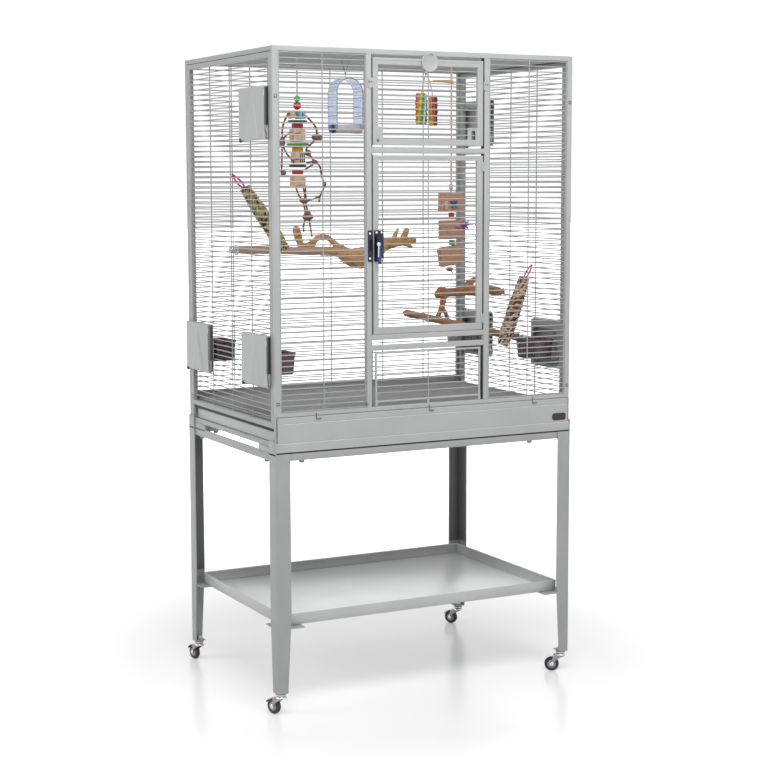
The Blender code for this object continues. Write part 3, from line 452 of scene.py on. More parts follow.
def plate(points, w, radius=0.0006):
    """Flat plate of an outline, its rims rounded over."""
    low, high = min(w), max(w)
    centre_u = sum(p[0] for p in points) / len(points)
    centre_v = sum(p[1] for p in points) / len(points)

    def ring(height, inset):
        made = []
        for u, v in points:
            away = Vector((u - centre_u, v - centre_v))
            shrink = 1 - inset / max(away.length, 1e-6)
            made.append((centre_u + away.x * shrink, centre_v + away.y * shrink, height))
        return made
    return loft([ring(low, radius), ring(low + radius, 0), ring(high - radius, 0), ring(high, radius)])


def holed_plate(u, v, hole_u, hole_v, hole_radius, w, lip=0.0):
    """Plate round a rounded opening, with a lip folded in along the opening."""
    low, high = min(w), max(w)
    outer = span_outline(u, v, 0.0008)
    inner = span_outline(hole_u, hole_v, hole_radius)
    edge = span_outline((hole_u[0] - 0.0012, hole_u[1] + 0.0012),
                        (hole_v[0] - 0.0012, hole_v[1] + 0.0012), hole_radius + 0.0012)
    rings = [[(*p, high) for p in outer], [(*p, high) for p in edge],
             [(*p, high - 0.0008) for p in inner], [(*p, low - lip) for p in inner],
             [(*p, low - lip) for p in edge], [(*p, low) for p in edge], [(*p, low) for p in outer]]
    return loft(rings, loop=True)


def frame_ring(u, v, widths, w, radius=0.0014, steps=4):
    """Mitred frame of rounded bar. widths: left, right, bottom, top."""
    low, high = min(w), max(w)
    section = []
    for corner, (inner, depth, sign) in enumerate(((0, low, 1), (1, low, 1), (1, high, -1), (0, high, -1))):
        arc = []
        for i in range(steps):
            angle = math.pi / 2 * i / (steps - 1)
            arc.append((inner, radius * (1 - math.cos(angle)), depth + sign * radius * (1 - math.sin(angle))))
        section += arc if corner % 2 == 0 else arc[::-1]

    def along(ends, sizes, far, inner, offset):
        step = (sizes[far] if inner else 0.0) + (-offset if inner else offset)
        return ends[1] - step if far else ends[0] + step
    rings = []
    for far_u, far_v in ((0, 0), (1, 0), (1, 1), (0, 1)):
        rings.append([(along(u, widths[:2], far_u, inner, offset),
                       along(v, widths[2:], far_v, inner, offset), depth)
                      for inner, offset, depth in section])
    return loft(rings, loop=True)


def moved(part, place):
    bmesh.ops.transform(part, matrix=place, verts=part.verts)
    return part


class Piece:
    """Collects shapes in one mesh, each with its material, and fixes it to a body."""

    def __init__(self, name, plane=WORLD):
        self.name = name
        self.plane = plane
        self.shape = bmesh.new()
        self.materials = []

    def add(self, part, material, smooth=True):
        if material not in self.materials:
            self.materials.append(material)
        index = self.materials.index(material)
        moved(part, self.plane)
        if self.plane.to_3x3().determinant() < 0:
            bmesh.ops.reverse_faces(part, faces=part.faces)
        for face in part.faces:
            face.material_index = index
            face.smooth = smooth
        holder = bpy.data.meshes.new("part")
        part.to_mesh(holder)
        part.free()
        self.shape.from_mesh(holder)
        bpy.data.meshes.remove(holder)

    def fix(self, body, slot, *replaced, sharp=38):
        mesh = bpy.data.meshes.new(self.name)
        self.shape.to_mesh(mesh)
        self.shape.free()
        for material in self.materials:
            mesh.materials.append(material)
        mesh.set_sharp_from_angle(angle=math.radians(sharp))
        made = bpy.data.objects.new(self.name, mesh)
        bpy.context.scene.collection.objects.link(made)
        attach(made, body)
        if replaced:
            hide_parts(*replaced)


def levels(low, high, pitch):
    """Bar places strictly between two members, centred on the span."""
    count = int((high - low) / pitch + 1e-6)
    if (high - low) - count * pitch < 0.35 * pitch:
        count -= 1
    start = (low + high) / 2 - pitch * (count - 1) / 2
    return [start + pitch * i for i in range(count)]


def uncut(span, gaps):
    """Stretches of a span that its gaps leave, apart from slivers."""
    stops = [span[0], *(end for gap in sorted(gaps) for end in gap), span[1]]
    return [(start, end) for start, end in zip(stops[::2], stops[1::2]) if end - start > 0.003]


def crosswires(piece, u, rows, w, material=None, gaps=()):
    """Round bars across a panel, cut where a gap (u pair, v pair) lies."""
    for v in rows:
        for start, end in uncut(u, [gap_u for gap_u, gap_v in gaps if gap_v[0] < v < gap_v[1]]):
            piece.add(rod((start, v, w), (end, v, w), WIRE_R, 8), material or WIRE)


def uprights(piece, columns, v, w, material=None, gaps=()):
    """Round stays up a panel, cut where a gap lies."""
    for u in columns:
        for start, end in uncut(v, [gap_v for gap_u, gap_v in gaps if gap_u[0] < u < gap_u[1]]):
            piece.add(rod((u, start, w), (u, end, w), WIRE_R, 8), material or WIRE)


def screw(u, v, w, radius=0.0036):
    """Domed screw head with a cross slot, standing on the plane w."""
    head = turned([(0, w - 0.0006), (radius, w - 0.0006), (radius, w + 0.0006), (radius * 0.8, w + 0.0016),
                   (radius * 0.35, w + 0.0021), (0, w + 0.0021)], 16)
    return moved(head, Matrix.Translation((u, v, 0)))


def add_screw(piece, u, v, w, radius=0.0036):
    piece.add(screw(u, v, w, radius), ZINC)
    # dark square under the head: painted shade round it
    piece.add(block((u - radius * 1.3, u + radius * 1.3), (v - radius * 1.3, v + radius * 1.3),
                    (w, w + 0.0004), 0.0002), PAINTED_SHADE_BLACK)
    slot = 0.0005
    reach = radius * 0.55
    # black bars over the head: the cross slot drawn as painted shade
    piece.add(block((u - reach, u + reach), (v - slot, v + slot), (w + 0.0016, w + 0.0022), 0), BLACK, False)
    piece.add(block((u - slot, u + slot), (v - reach, v + reach), (w + 0.0016, w + 0.0022), 0), BLACK, False)


# ---------------------------------------------------------------- stand
def leg(corner, sx, sy):
    """Folded angle leg with a rounded bend, tapered foot, foot plate and shelf bracket."""
    low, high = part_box("leg_" + corner)
    outer = Vector((max(abs(low.x), abs(high.x)), max(abs(low.y), abs(high.y)), 0))
    sheet, bend = 0.0025, 0.0030
    wide, narrow, taper_z = 0.0370, 0.0270, 0.2400
    top_front, top_side, foot = 0.6215, high.z, low.z

    def section(z, reach_x, reach_y):
        points = [(reach_x, 0), (reach_x, sheet), (bend + 0.0004, sheet)]
        points += [(sheet + 0.0006 * (1 - math.sin(a)), sheet + 0.0006 * (1 - math.cos(a)))
                   for a in (0.4, 0.9, 1.3)]
        points += [(sheet, bend + 0.0004), (sheet, reach_y), (0, reach_y), (0, bend)]
        points += [(bend * (1 - math.cos(a)), bend * (1 - math.sin(a))) for a in (0.35, 0.8, 1.2)]
        points += [(bend, 0)]
        return [(sx * (outer.x - a), sy * (outer.y - b), z) for a, b in points]

    piece = Piece("leg_sheet_" + corner)
    piece.add(loft([section(foot, narrow, narrow), section(foot + 0.0008, narrow + 0.0003, narrow + 0.0003),
                    section(taper_z, wide, wide), section(top_front - 0.0010, wide, wide),
                    section(top_front, wide - 0.0010, wide - 0.0010)]), STAND)
    side = (sx * (outer.x - sheet), sx * outer.x)
    piece.add(block(side, (sy * outer.y - sy * 0.0012, sy * (outer.y - wide)),
                    (top_front - 0.0040, top_side), 0.0009), STAND)
    # back legs: dark plates inside the angle are painted shade cast by the cage above
    if sy > 0:
        piece.add(block((sx * (outer.x - sheet - 0.0010), sx * (outer.x - wide + 0.0010)),
                        (outer.y - sheet, outer.y - sheet - 0.0003), (taper_z, 0.5990), 0.0001), PAINTED_LEG_SHADE)
        piece.add(block((sx * (outer.x - sheet), sx * (outer.x - sheet - 0.0003)),
                        (outer.y - sheet - 0.0006, outer.y - wide + 0.0010), (taper_z, 0.5990), 0.0001),
                        PAINTED_LEG_SHADE)
    inset = 0.0015
    piece.add(block((sx * (outer.x - inset), sx * (outer.x - narrow)),
                    (sy * (outer.y - inset), sy * (outer.y - narrow)), (foot + 0.0005, foot + 0.0035)), STAND)
    piece.add(block((sx * (outer.x - inset), sx * min(abs(low.x), abs(high.x))),
                    (sy * (outer.y - inset), sy * min(abs(low.y), abs(high.y))), (0.2065, 0.2092)), STAND)
    stem = Vector((sx * (outer.x - 0.0140), sy * (outer.y - 0.0140), foot + 0.0035))
    nut = turned([(0, 0), (0.0080, 0), (0.0080, 0.0050), (0.0068, 0.0060), (0, 0.0060)], 6)
    piece.add(moved(nut, Matrix.Translation(stem)), ZINC, False)
    piece.add(block((sx * (outer.x - 0.0030), sx * (outer.x - 0.0300)),
                    (sy * (outer.y - 0.0030), sy * (outer.y - 0.0150)), (0.6000, 0.6232), 0.0006), SHADE)
    piece.fix("cage", "grey_powder_coat", "leg_" + corner)


def stand_rails():
    for side, sx in (("left", -1), ("right", 1)):
        name = "stand_rail_" + side
        low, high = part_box(name)
        piece = Piece("rail_sheet_" + side)
        web_top = 0.6225
        tab_in = 0.0160
        piece.add(block((sx * HALF_W, sx * (HALF_W - 0.0026)), (low.y, high.y), (low.z, web_top), 0.0010),
                  STAND)
        piece.add(block((sx * (HALF_W - 0.0006), sx * min(abs(low.x), abs(high.x))), (-0.2350, 0.2350),
                        (low.z, low.z + 0.0024), 0.0008), STAND)
        for sy in (-1, 1):
            piece.add(block((sx * HALF_W, sx * (HALF_W - tab_in)), (sy * 0.1700, sy * high.y),
                            (web_top - 0.0050, high.z), 0.0012), STAND)
            bolt = turned([(0, 0), (0.0056, 0), (0.0056, -0.0036), (0.0040, -0.0056), (0, -0.0056)], 12)
            piece.add(moved(bolt, Matrix.Translation((sx * (HALF_W - 0.0060), sy * 0.2050, low.z))),
                      ZINC_DARK)
        piece.fix("cage", "grey_powder_coat", name)
    for side, sy in (("front", -1), ("back", 1)):
        name = "stand_rail_" + side
        low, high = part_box(name)
        inner = min(abs(low.y), abs(high.y))
        piece = Piece("rail_tube_" + side)
        piece.add(block((low.x, high.x), (sy * HALF_D, sy * (HALF_D - 0.0026)), (low.z, high.z), 0.0010),
                  STAND)
        piece.add(block((-0.3790, 0.3790), (sy * (HALF_D - 0.0001), sy * inner),
                        (low.z, high.z), 0.0018, 3), STAND)
        for x in (-0.335, 0.290):
            bolt = turned([(0, 0), (0.0062, 0), (0.0062, -0.0040), (0.0044, -0.0062), (0, -0.0062)], 12)
            piece.add(moved(bolt, Matrix.Translation((x, sy * (HALF_D - 0.0070), low.z))), ZINC_DARK)
        piece.fix("cage", "grey_powder_coat", name)


def shelf():
    """Pressed shelf: a flat floor, upright lips with a rolled hem, rounded inside fold."""
    low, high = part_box("lower_shelf")
    sheet, fold = 0.0016, 0.0030
    rows = [(0.0, high.z - 0.0012), (0.0006, high.z), (0.0026, high.z), (0.0032, high.z - 0.0010),
            (0.0030, high.z - 0.0042), (sheet, high.z - 0.0050), (sheet, low.z + sheet + fold),
            (sheet + fold * 0.3, low.z + sheet + fold * 0.3), (sheet + fold, low.z + sheet)]
    outer = [(0.0, low.z + fold), (fold * 0.3, low.z + fold * 0.3), (fold, low.z)]

    def ring(inset, z):
        return [(u, v, z) for u, v in span_outline((low.x + inset, high.x - inset),
                                                   (low.y + inset, high.y - inset), 0.0030, 4)]
    piece = Piece("shelf_pan")
    piece.add(loft([ring(*row) for row in outer[::-1]] + [ring(*row) for row in rows]), STAND_SHELF)
    # paler plate over the shelf floor: painted light on its top face
    piece.add(block((low.x + 0.0120, high.x - 0.0120), (low.y + 0.0120, high.y - 0.0120),
                    (low.z + sheet, low.z + sheet + 0.0003), 0.0001), SHELF_FLOOR_PAINTED_LIGHT)
    piece.fix("cage", "light_grey_powder_coat", "lower_shelf")


# ---------------------------------------------------------------- casters
def casters():
    for corner, (_, _, heading) in CORNERS.items():
        low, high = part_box("caster_stem_" + corner)
        centre = (low + high) / 2
        yaw = Matrix.Translation((centre.x, centre.y, 0)) @ Matrix.Rotation(math.radians(heading), 4, "Z")
        stem = Piece("stem_cup_" + corner, yaw)
        stem.add(turned([(0, 0.0476), (0.0100, 0.0476), (0.0119, 0.0482), (0.0127, 0.0496), (0.0127, 0.0512),
                         (0.0117, 0.0524), (0.0098, 0.0537), (0.0046, 0.0537), (0.0046, 0.0650),
                         (0.0040, 0.0660), (0, 0.0660)], 32), CHROME)
        stem.fix("cage", "chrome_plate", "caster_stem_" + corner)
        fork(corner, yaw)
        wheel(corner, yaw)


def fork(corner, yaw):
    """Pressed yoke: a round crown and two cheeks that lean back to the axle."""
    piece = Piece("yoke_" + corner, yaw)
    piece.add(turned([(0, 0.0404), (0.0112, 0.0404), (0.0126, 0.0414), (0.0130, 0.0432), (0.0122, 0.0452),
                      (0.0100, 0.0466), (0.0050, 0.0472), (0, 0.0472)], 32), CHROME)
    for side in (-1, 1):
        rows = []
        near, far = side * (WHEEL_HALF + 0.0012), side * (WHEEL_HALF + 0.0030)
        front_edge = [(0.0125, 0.0440), (0.0180, 0.0400), (0.0215, 0.0310), (TRAIL + 0.0030, 0.0235),
                      (TRAIL + 0.0040, 0.0175), (TRAIL, 0.0136)]
        rear_edge = [(-0.0110, 0.0440), (-0.0100, 0.0400), (0.0020, 0.0345), (0.0120, 0.0275),
                     (TRAIL - 0.0042, 0.0190), (TRAIL - 0.0030, 0.0150)]
        for (fx, fz), (rx, rz) in zip(front_edge, rear_edge):
            rows.append([(fx, near, fz), (fx, far, fz), (rx, far, rz), (rx, near, rz)])
        part = loft(rows)
        bmesh.ops.bevel(part, geom=part.edges[:], offset=0.0004, segments=2, profile=0.5, affect="EDGES")
        piece.add(part, YOKE)
        cap = turned([(0, 0.0012), (0.0040, 0.0010), (0.0052, 0), (0, 0)], 16)
        tip = Matrix(((1, 0, 0, TRAIL), (0, 0, side, far), (0, 1, 0, WHEEL_R), (0, 0, 0, 1)))
        moved(cap, tip)
        bmesh.ops.recalc_face_normals(cap, faces=cap.faces)
        piece.add(cap, CHROME)
    hood_arc = [Vector((TRAIL + 0.0203 * math.cos(a), 0, WHEEL_R + 0.0203 * math.sin(a)))
                for a in [math.radians(d) for d in range(20, 111, 10)]]
    rows = [[p + Vector((0, -0.0085, 0)), p + Vector((0, 0.0085, 0)),
             p + Vector((0, 0.0085, 0.0011)), p + Vector((0, -0.0085, 0.0011))] for p in hood_arc]
    piece.add(loft(rows), CHROME)
    piece.add(rod((TRAIL, -WHEEL_HALF - 0.0034, WHEEL_R), (TRAIL, WHEEL_HALF + 0.0034, WHEEL_R), 0.0024,
                  14), ZINC)
    piece.fix("caster_" + corner, "chrome_plate", "caster_fork_" + corner)


def wheel(corner, yaw):
    """Rubber tyre on a moulded hub with a raised boss."""
    plane = yaw @ Matrix.Translation((TRAIL, 0, WHEEL_R)) @ Matrix.Rotation(math.pi / 2, 4, "X")
    piece = Piece("wheel_tyre_" + corner, plane)
    half = WHEEL_HALF
    tyre = [(0.0105, -half + 0.0006), (0.0118, -half + 0.0002), (0.0150, -half), (0.0172, -half + 0.0010),
            (0.0183, -half + 0.0028), (WHEEL_R, -0.0018), (WHEEL_R, 0.0018), (0.0183, half - 0.0028),
            (0.0172, half - 0.0010), (0.0150, half), (0.0118, half - 0.0002), (0.0105, half - 0.0006)]
    piece.add(turned(tyre, 40, ring=True), RUBBER)
    hub = [(0.0026, -half + 0.0002), (0.0050, -half + 0.0002), (0.0056, -half + 0.0012),
           (0.0088, -half + 0.0018),
           (0.0100, -half + 0.0006), (0.0106, -half + 0.0006), (0.0106, half - 0.0006),
           (0.0100, half - 0.0006),
           (0.0088, half - 0.0018), (0.0056, half - 0.0012), (0.0050, half - 0.0002), (0.0026, half - 0.0002)]
    piece.add(turned(hub, 32, ring=True), HUB)
    piece.fix("wheel_" + corner, "black_rubber", "caster_wheel_" + corner)


# ---------------------------------------------------------------- base, tray and floor
def front_strip(x, z):
    """Pressed front strip: a tight lower edge and a broad rounded upper one."""
    face, back, round_off = -HALF_D, -HALF_D + 0.0060, 0.0032
    side = [(back, z[0]), (face + 0.0006, z[0]), (face, z[0] + 0.0006)]
    side += [(face + round_off * (1 - math.sin(a)), z[1] - round_off * (1 - math.cos(a)))
             for a in [math.radians(d) for d in range(90, -1, -15)]]
    side.append((back, z[1]))
    return loft([[(along, y, up) for y, up in side] for along in x])


def bright_edge(x, top):
    """Painted highlight: a bright line along the rounded upper edge of a strip."""
    return rod((x[0] + 0.002, -HALF_D + 0.0010, top - 0.0022),
               (x[1] - 0.002, -HALF_D + 0.0010, top - 0.0022), 0.0012, 8)


def base():
    low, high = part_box("base_frame")
    piece = Piece("base_sheet")
    fascia_low, fascia_top, rail_top = 0.6242, 0.6470, 0.6470
    piece.add(front_strip((low.x, high.x), (fascia_low, fascia_top)), PALE)
    # painted highlight along the fascia's top edge
    piece.add(bright_edge((low.x, high.x), fascia_top), PAINTED_HIGHLIGHT)
    # near-black strip: painted shade under the fascia, over the stand rail's top
    piece.add(block((low.x + 0.002, high.x - 0.002), (-HALF_D - 0.0002, -HALF_D + 0.0030), (0.6212, 0.6246),
                    0.0002), PAINTED_SHADE_BLACK)
    piece.add(block((low.x, high.x), (HALF_D - TUBE, HALF_D), (0.6350, high.z), 0.0014), GREY)
    for sx in (-1, 1):
        piece.add(block((sx * HALF_W, sx * (HALF_W - TUBE)), (-HALF_D + 0.0080, HALF_D - 0.0010),
                        (0.6350, rail_top), 0.0014), GREY)
        piece.add(block((sx * HALF_W, sx * (HALF_W - 0.0020)), (-HALF_D, -HALF_D + TUBE),
                        (0.6360, high.z), 0.0009), GREY)
        piece.add(block((sx * HALF_W, sx * (HALF_W - TUBE)), (0.2450, HALF_D - TUBE + 0.0010),
                        (0.6360, 0.6797), 0.0010), GREY)
        # near-black strip in each side slot: painted shade above the tray wall
        piece.add(block((sx * 0.3990, sx * 0.3974), (-0.2600, 0.2440), (0.6728, 0.6794), 0.0003), PAINTED_SHADE_BLACK)
    piece.fix("cage", "grey_powder_coat", "base_frame")


def tray():
    """Slide-out tray with a beaded front and hemmed side walls."""
    low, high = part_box("tray")
    front = -HALF_D
    bottom, top = 0.6473, 0.6720
    half_x, sheet = 0.3965, 0.0016
    piece = Piece("tray_sheet")
    piece.add(front_strip((low.x, high.x), (low.z + 0.0002, high.z + 0.0008)), PALE)
    # painted highlight along the tray front's top edge
    piece.add(bright_edge((low.x, high.x), high.z + 0.0008), PAINTED_HIGHLIGHT)
    y_span = (front + 0.0060, high.y)

    def ring(inset, z):
        return [(u, v, z) for u, v in span_outline((inset - half_x, half_x - inset),
                                                   (y_span[0] + inset, y_span[1] - inset), 0.0025, 4)]
    piece.add(loft([ring(0.0010, bottom), ring(0.0, bottom + 0.0012), ring(0.0, top - 0.0008),
                    ring(0.0008, top), ring(0.0022, top), ring(0.0030, top - 0.0010),
                    ring(0.0030, top - 0.0036), ring(sheet, top - 0.0044), ring(sheet, bottom + 0.0030),
                    ring(0.0030, bottom + sheet)]), TRAY)
    plane = FRONT @ Matrix.Translation((0.3725, 0.6600, 0))
    badge = plate(outline(0.0198, 0.0088, 0.0060), (-0.0002, 0.0014), 0.0005)
    piece.add(moved(badge, plane), BADGE)
    piece.fix("tray", "grey_powder_coat", "tray")


def grate():
    """Pull-out wire floor behind its own front strip."""
    low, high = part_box("floor_grate")
    piece = Piece("grate_wires")
    piece.add(front_strip((low.x, high.x), (0.6917, high.z)), PALE)
    rim_x, rim_y = 0.3860, (low.y + 0.0070, high.y)
    rim_z = (0.6922, 0.6968)
    piece.add(frame_ring((-rim_x, rim_x), rim_y, (0.0050,) * 4, rim_z, 0.0016), GREY)
    piece.add(block((-rim_x, rim_x), (low.y + 0.0050, low.y + 0.0080), rim_z, 0.0005), FLOOR)
    for y in levels(low.y + 0.0100, high.y - 0.0050, FLOOR_PITCH):
        piece.add(rod((-rim_x + 0.003, y, 0.6953), (rim_x - 0.003, y, 0.6953), 0.0011, 8), FLOOR_WIRE)
    for x in levels(-rim_x, rim_x, 0.0965):
        piece.add(rod((x, low.y + 0.0080, 0.6936), (x, high.y - 0.0030, 0.6936), 0.0012, 8), FLOOR_WIRE)
    piece.fix("grate", "dark_grey_enamel", "floor_grate")


# ---------------------------------------------------------------- walls

def opening_of(side, level, end):
    """Hood, plate and opening spans in the wall's own u and v."""
    low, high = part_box("feeder_door_%s_%s_%s" % (side, level, end))
    y = (low.y, high.y)
    u = (-y[1], -y[0]) if side == "left" else y
    v = HOOD_Z[level]
    plate_u = (u[0] + 0.0030, u[1] - 0.0030)
    plate_v = (v[0] + 0.0010, v[1] - 0.0010)
    hole_u = (u[0] + 0.0150, u[1] - 0.0150)
    hole_v = (v[0] + 0.0100, v[1] - 0.0200)
    return u, v, plate_u, plate_v, hole_u, hole_v


def side_wall(side):
    plane = LEFT if side == "left" else RIGHT
    half = HALF_D - TUBE - 0.0003
    opening_u = half - STILE
    front = 1 if side == "left" else -1
    piece = Piece("wall_%s" % side, plane)
    piece.add(frame_ring((-half, half), (0.6800, TOP_Z - 0.0004), (STILE, STILE, TUBE, TUBE), (-TUBE, 0),
                         0.0014),
              GREY)
    piece.add(block((-half, half), (TOP_Z + 0.0007, HEIGHT), (-TUBE, 0), 0.0014), GREY)
    # near-black strip: painted shade in the gap under the roof's edge
    piece.add(block((-half + 0.001, half - 0.001), (TOP_Z - 0.0010, TOP_Z + 0.0012), (-0.0040, -0.0012),
                    0.0002), PAINTED_SHADE_BLACK)
    edge = front * opening_u
    piece.add(block((edge - front * 0.0034, edge + front * 0.0002), (WIRE_ZONE_Z, SIDE_TOP_Z),
                    (-0.0030, -0.0010),
                    0.0004), SHADE)
    gaps = []
    for level, end in HOODS[side]:
        u, v, plate_u, plate_v, hole_u, hole_v = opening_of(side, level, end)
        gaps.append((plate_u, plate_v))
        piece.add(holed_plate(plate_u, plate_v, hole_u, hole_v, 0.0200, (-0.0052, -0.0038), 0.0050), GREY)
    crosswires(piece, (-opening_u - 0.003, opening_u + 0.003), levels(WIRE_ZONE_Z, SIDE_TOP_Z, WALL_PITCH),
               -0.0060, gaps=gaps)
    uprights(piece, (-0.1245, 0.0, 0.1245), (WIRE_ZONE_Z - 0.003, SIDE_TOP_Z + 0.003), -0.0060 - WELD,
             gaps=gaps)
    piece.add(block((-0.2560, 0.2560), (0.6886, 0.6916), (-TUBE + 0.0010, -0.0280), 0.0006), GREY)
    add_screw(piece, -half + 0.0080, 0.7000, 0.0)
    piece.fix("cage", "grey_powder_coat", side + "_panel")


def back_wall():
    bottom = FRONT_Z[0] - 0.0007
    inner = HALF_W - STILE
    piece = Piece("wall_back", BACK)
    piece.add(frame_ring((-HALF_W, HALF_W), (bottom, HEIGHT), (STILE, STILE, 0.0060, HEIGHT - TOP_Z),
                         (-TUBE, 0), 0.0016), GREY)
    crosswires(piece, (-inner - 0.003, inner + 0.003), levels(bottom + 0.0060, TOP_Z, WALL_PITCH), -TUBE / 2)
    uprights(piece, (-0.280, -0.155, 0.0, 0.155, 0.280), (bottom + 0.003, TOP_Z + 0.003), -TUBE / 2 - WELD)
    piece.fix("cage", "grey_powder_coat", "back_panel")


def roof():
    x, y = HALF_W - TUBE - 0.0003, HALF_D - TUBE - 0.0003
    front_y = -y + 0.0040
    piece = Piece("wall_roof", ROOF)
    piece.add(frame_ring((-x, x), (front_y, y), (0.010,) * 4, (-0.0112, -0.0004), 0.0014), GREY)
    wire_w = -0.0045
    crosswires(piece, (0.007 - x, x - 0.007), levels(front_y + 0.010, y - 0.010, WALL_PITCH), wire_w)
    uprights(piece, (-0.280, -0.1175, 0.1175, 0.280), (front_y + 0.007, y - 0.007), wire_w - WELD)
    piece.fix("cage", "grey_powder_coat", "top_panel")


def front_wall():
    """Welded front: outer frame, two centre posts, three rails and their small brackets."""
    piece = Piece("wall_front", FRONT)
    depth = (-TUBE, 0)
    post_face = POST - RIM
    piece.add(frame_ring((-HALF_W, HALF_W), (FRONT_Z[0], HEIGHT),
                         (post_face, post_face, FRONT_Z[1] - FRONT_Z[0],
                                                                  HEIGHT - TOP_Z), depth, 0.0016, 5), PALE)
    for low_u, high_u in ((CENTRE_POSTS[0][0] + RIM, CENTRE_POSTS[0][1]),
                          (CENTRE_POSTS[1][0], CENTRE_POSTS[1][1] - RIM)):
        piece.add(block((low_u, high_u), (FRONT_Z[1] - 0.0012, TOP_Z + 0.0012), depth, 0.0014, 3), PALE)
    inner_u = (CENTRE_POSTS[0][1] - 0.0012, CENTRE_POSTS[1][0] + 0.0012)
    for rail in RAILS_Z:
        piece.add(block(inner_u, rail, depth, 0.0014, 3), PALE)
    for sx in (-1, 1):
        for z in (1.4380, 0.7380):
            add_screw(piece, sx * 0.3960, z, 0.0, 0.0030)
    add_screw(piece, CENTRE_POSTS[0][0] + 0.0030, 0.7250, 0.0, 0.0022)
    for u, way in ((CENTRE_POSTS[0][1], 1), (CENTRE_POSTS[1][0], -1)):
        tab = span_outline((min(u - way * 0.0105, u + way * 0.0034), max(u - way * 0.0105, u + way * 0.0034)),
                           (1.4610, 1.4850), 0.0040)
        piece.add(plate(tab, (-0.0002, 0.0020), 0.0007), PALE)
        for shift, radius in ((-0.0072, 0.0022), (-0.0006, 0.0016)):
            piece.add(rod((u + way * shift, 1.4750, 0.0), (u + way * shift, 1.4750, 0.0026), radius, 14),
                      ZINC_DARK)
    for u in (-0.300, 0.0, 0.293):
        foot = [(u, 0.7130, 0.0012), (u, 0.7045, 0.0016), (u + 0.0006, 0.7000, 0.0018),
                (u + 0.0045, 0.6992, 0.0018),
                (u + 0.0125, 0.6996, 0.0016)]
        piece.add(tube(smooth_path(foot, 5), 0.0012, 10), ZINC_DARK)
    piece.fix("cage", "light_grey_powder_coat", "front_frame")
    # near-black strips in the gaps beside the doors and in the base's front corner slots: painted shade
    stops = Piece("door_stops", FRONT)
    doorway = (CENTRE_POSTS[0][1], CENTRE_POSTS[1][0])
    for z in ((RAILS_Z[2][1], TOP_Z), (RAILS_Z[1][1], RAILS_Z[2][0]), (FRONT_Z[1], RAILS_Z[0][0])):
        for u, way in ((doorway[0], 1), (doorway[1], -1)):
            stops.add(block((u - way * 0.0004, u + way * 0.0029), z, (-0.0116, -0.0030), 0.0003), PAINTED_SHADE_BLACK)
    for sx in (-1, 1):
        stops.add(block((sx * 0.4004, sx * 0.3988), (0.6600, 0.7045), (-0.0060, -0.0016), 0.0003), PAINTED_SHADE_BLACK)
    stops.fix("cage", "dark_blued_steel")
    for name, sx in (("front_left_grille", -1), ("front_right_grille", 1)):
        low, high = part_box(name)
        grille = Piece(name + "_wires", FRONT)
        u, v = (low.x, high.x), (low.z, high.z)
        rim = RIM - 0.0003
        grille.add(frame_ring(u, v, (rim,) * 4, (-0.0085, -0.0018), 0.0008, 3), GREY)
        crosswires(grille, (u[0] + 0.001, u[1] - 0.001), levels(v[0] + rim, v[1] - rim, FRONT_PITCH), -0.0040,
                   FRONT_WIRE)
        uprights(grille, (sx * 0.2785,), (v[0] + 0.001, v[1] - 0.001), -0.0040 + WELD, FRONT_WIRE)
        grille.fix("cage", "light_grey_powder_coat", name)


# ---------------------------------------------------------------- doors and latches
def wire_door(name, node, members, stay_u, w):
    """Framed door leaf of wire. members: stile, bottom and top widths."""
    low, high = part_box(node)
    u = (low.x, min(high.x, 0.1475))
    v = (low.z, high.z)
    stile, bottom, top = members
    piece = Piece(name, FRONT)
    piece.add(frame_ring(u, v, (stile, stile, bottom, top), (min(w), max(w) - 0.0009), 0.0016), PALE)
    piece.add(frame_ring(u, v, (0.0062,) * 4, (max(w) - 0.0030, max(w)), 0.0010), PALE)
    wire_w = max(w) - 0.0032
    inner_v = (v[0] + bottom, v[1] - top)
    bite = min(0.004, stile * 0.4)
    crosswires(piece, (u[0] + stile - bite, u[1] - stile + bite), levels(*inner_v, DOOR_PITCH), wire_w,
               FRONT_WIRE)
    uprights(piece, (stay_u,), (inner_v[0] - 0.002, inner_v[1] + 0.002), wire_w + WELD, FRONT_WIRE)
    return piece


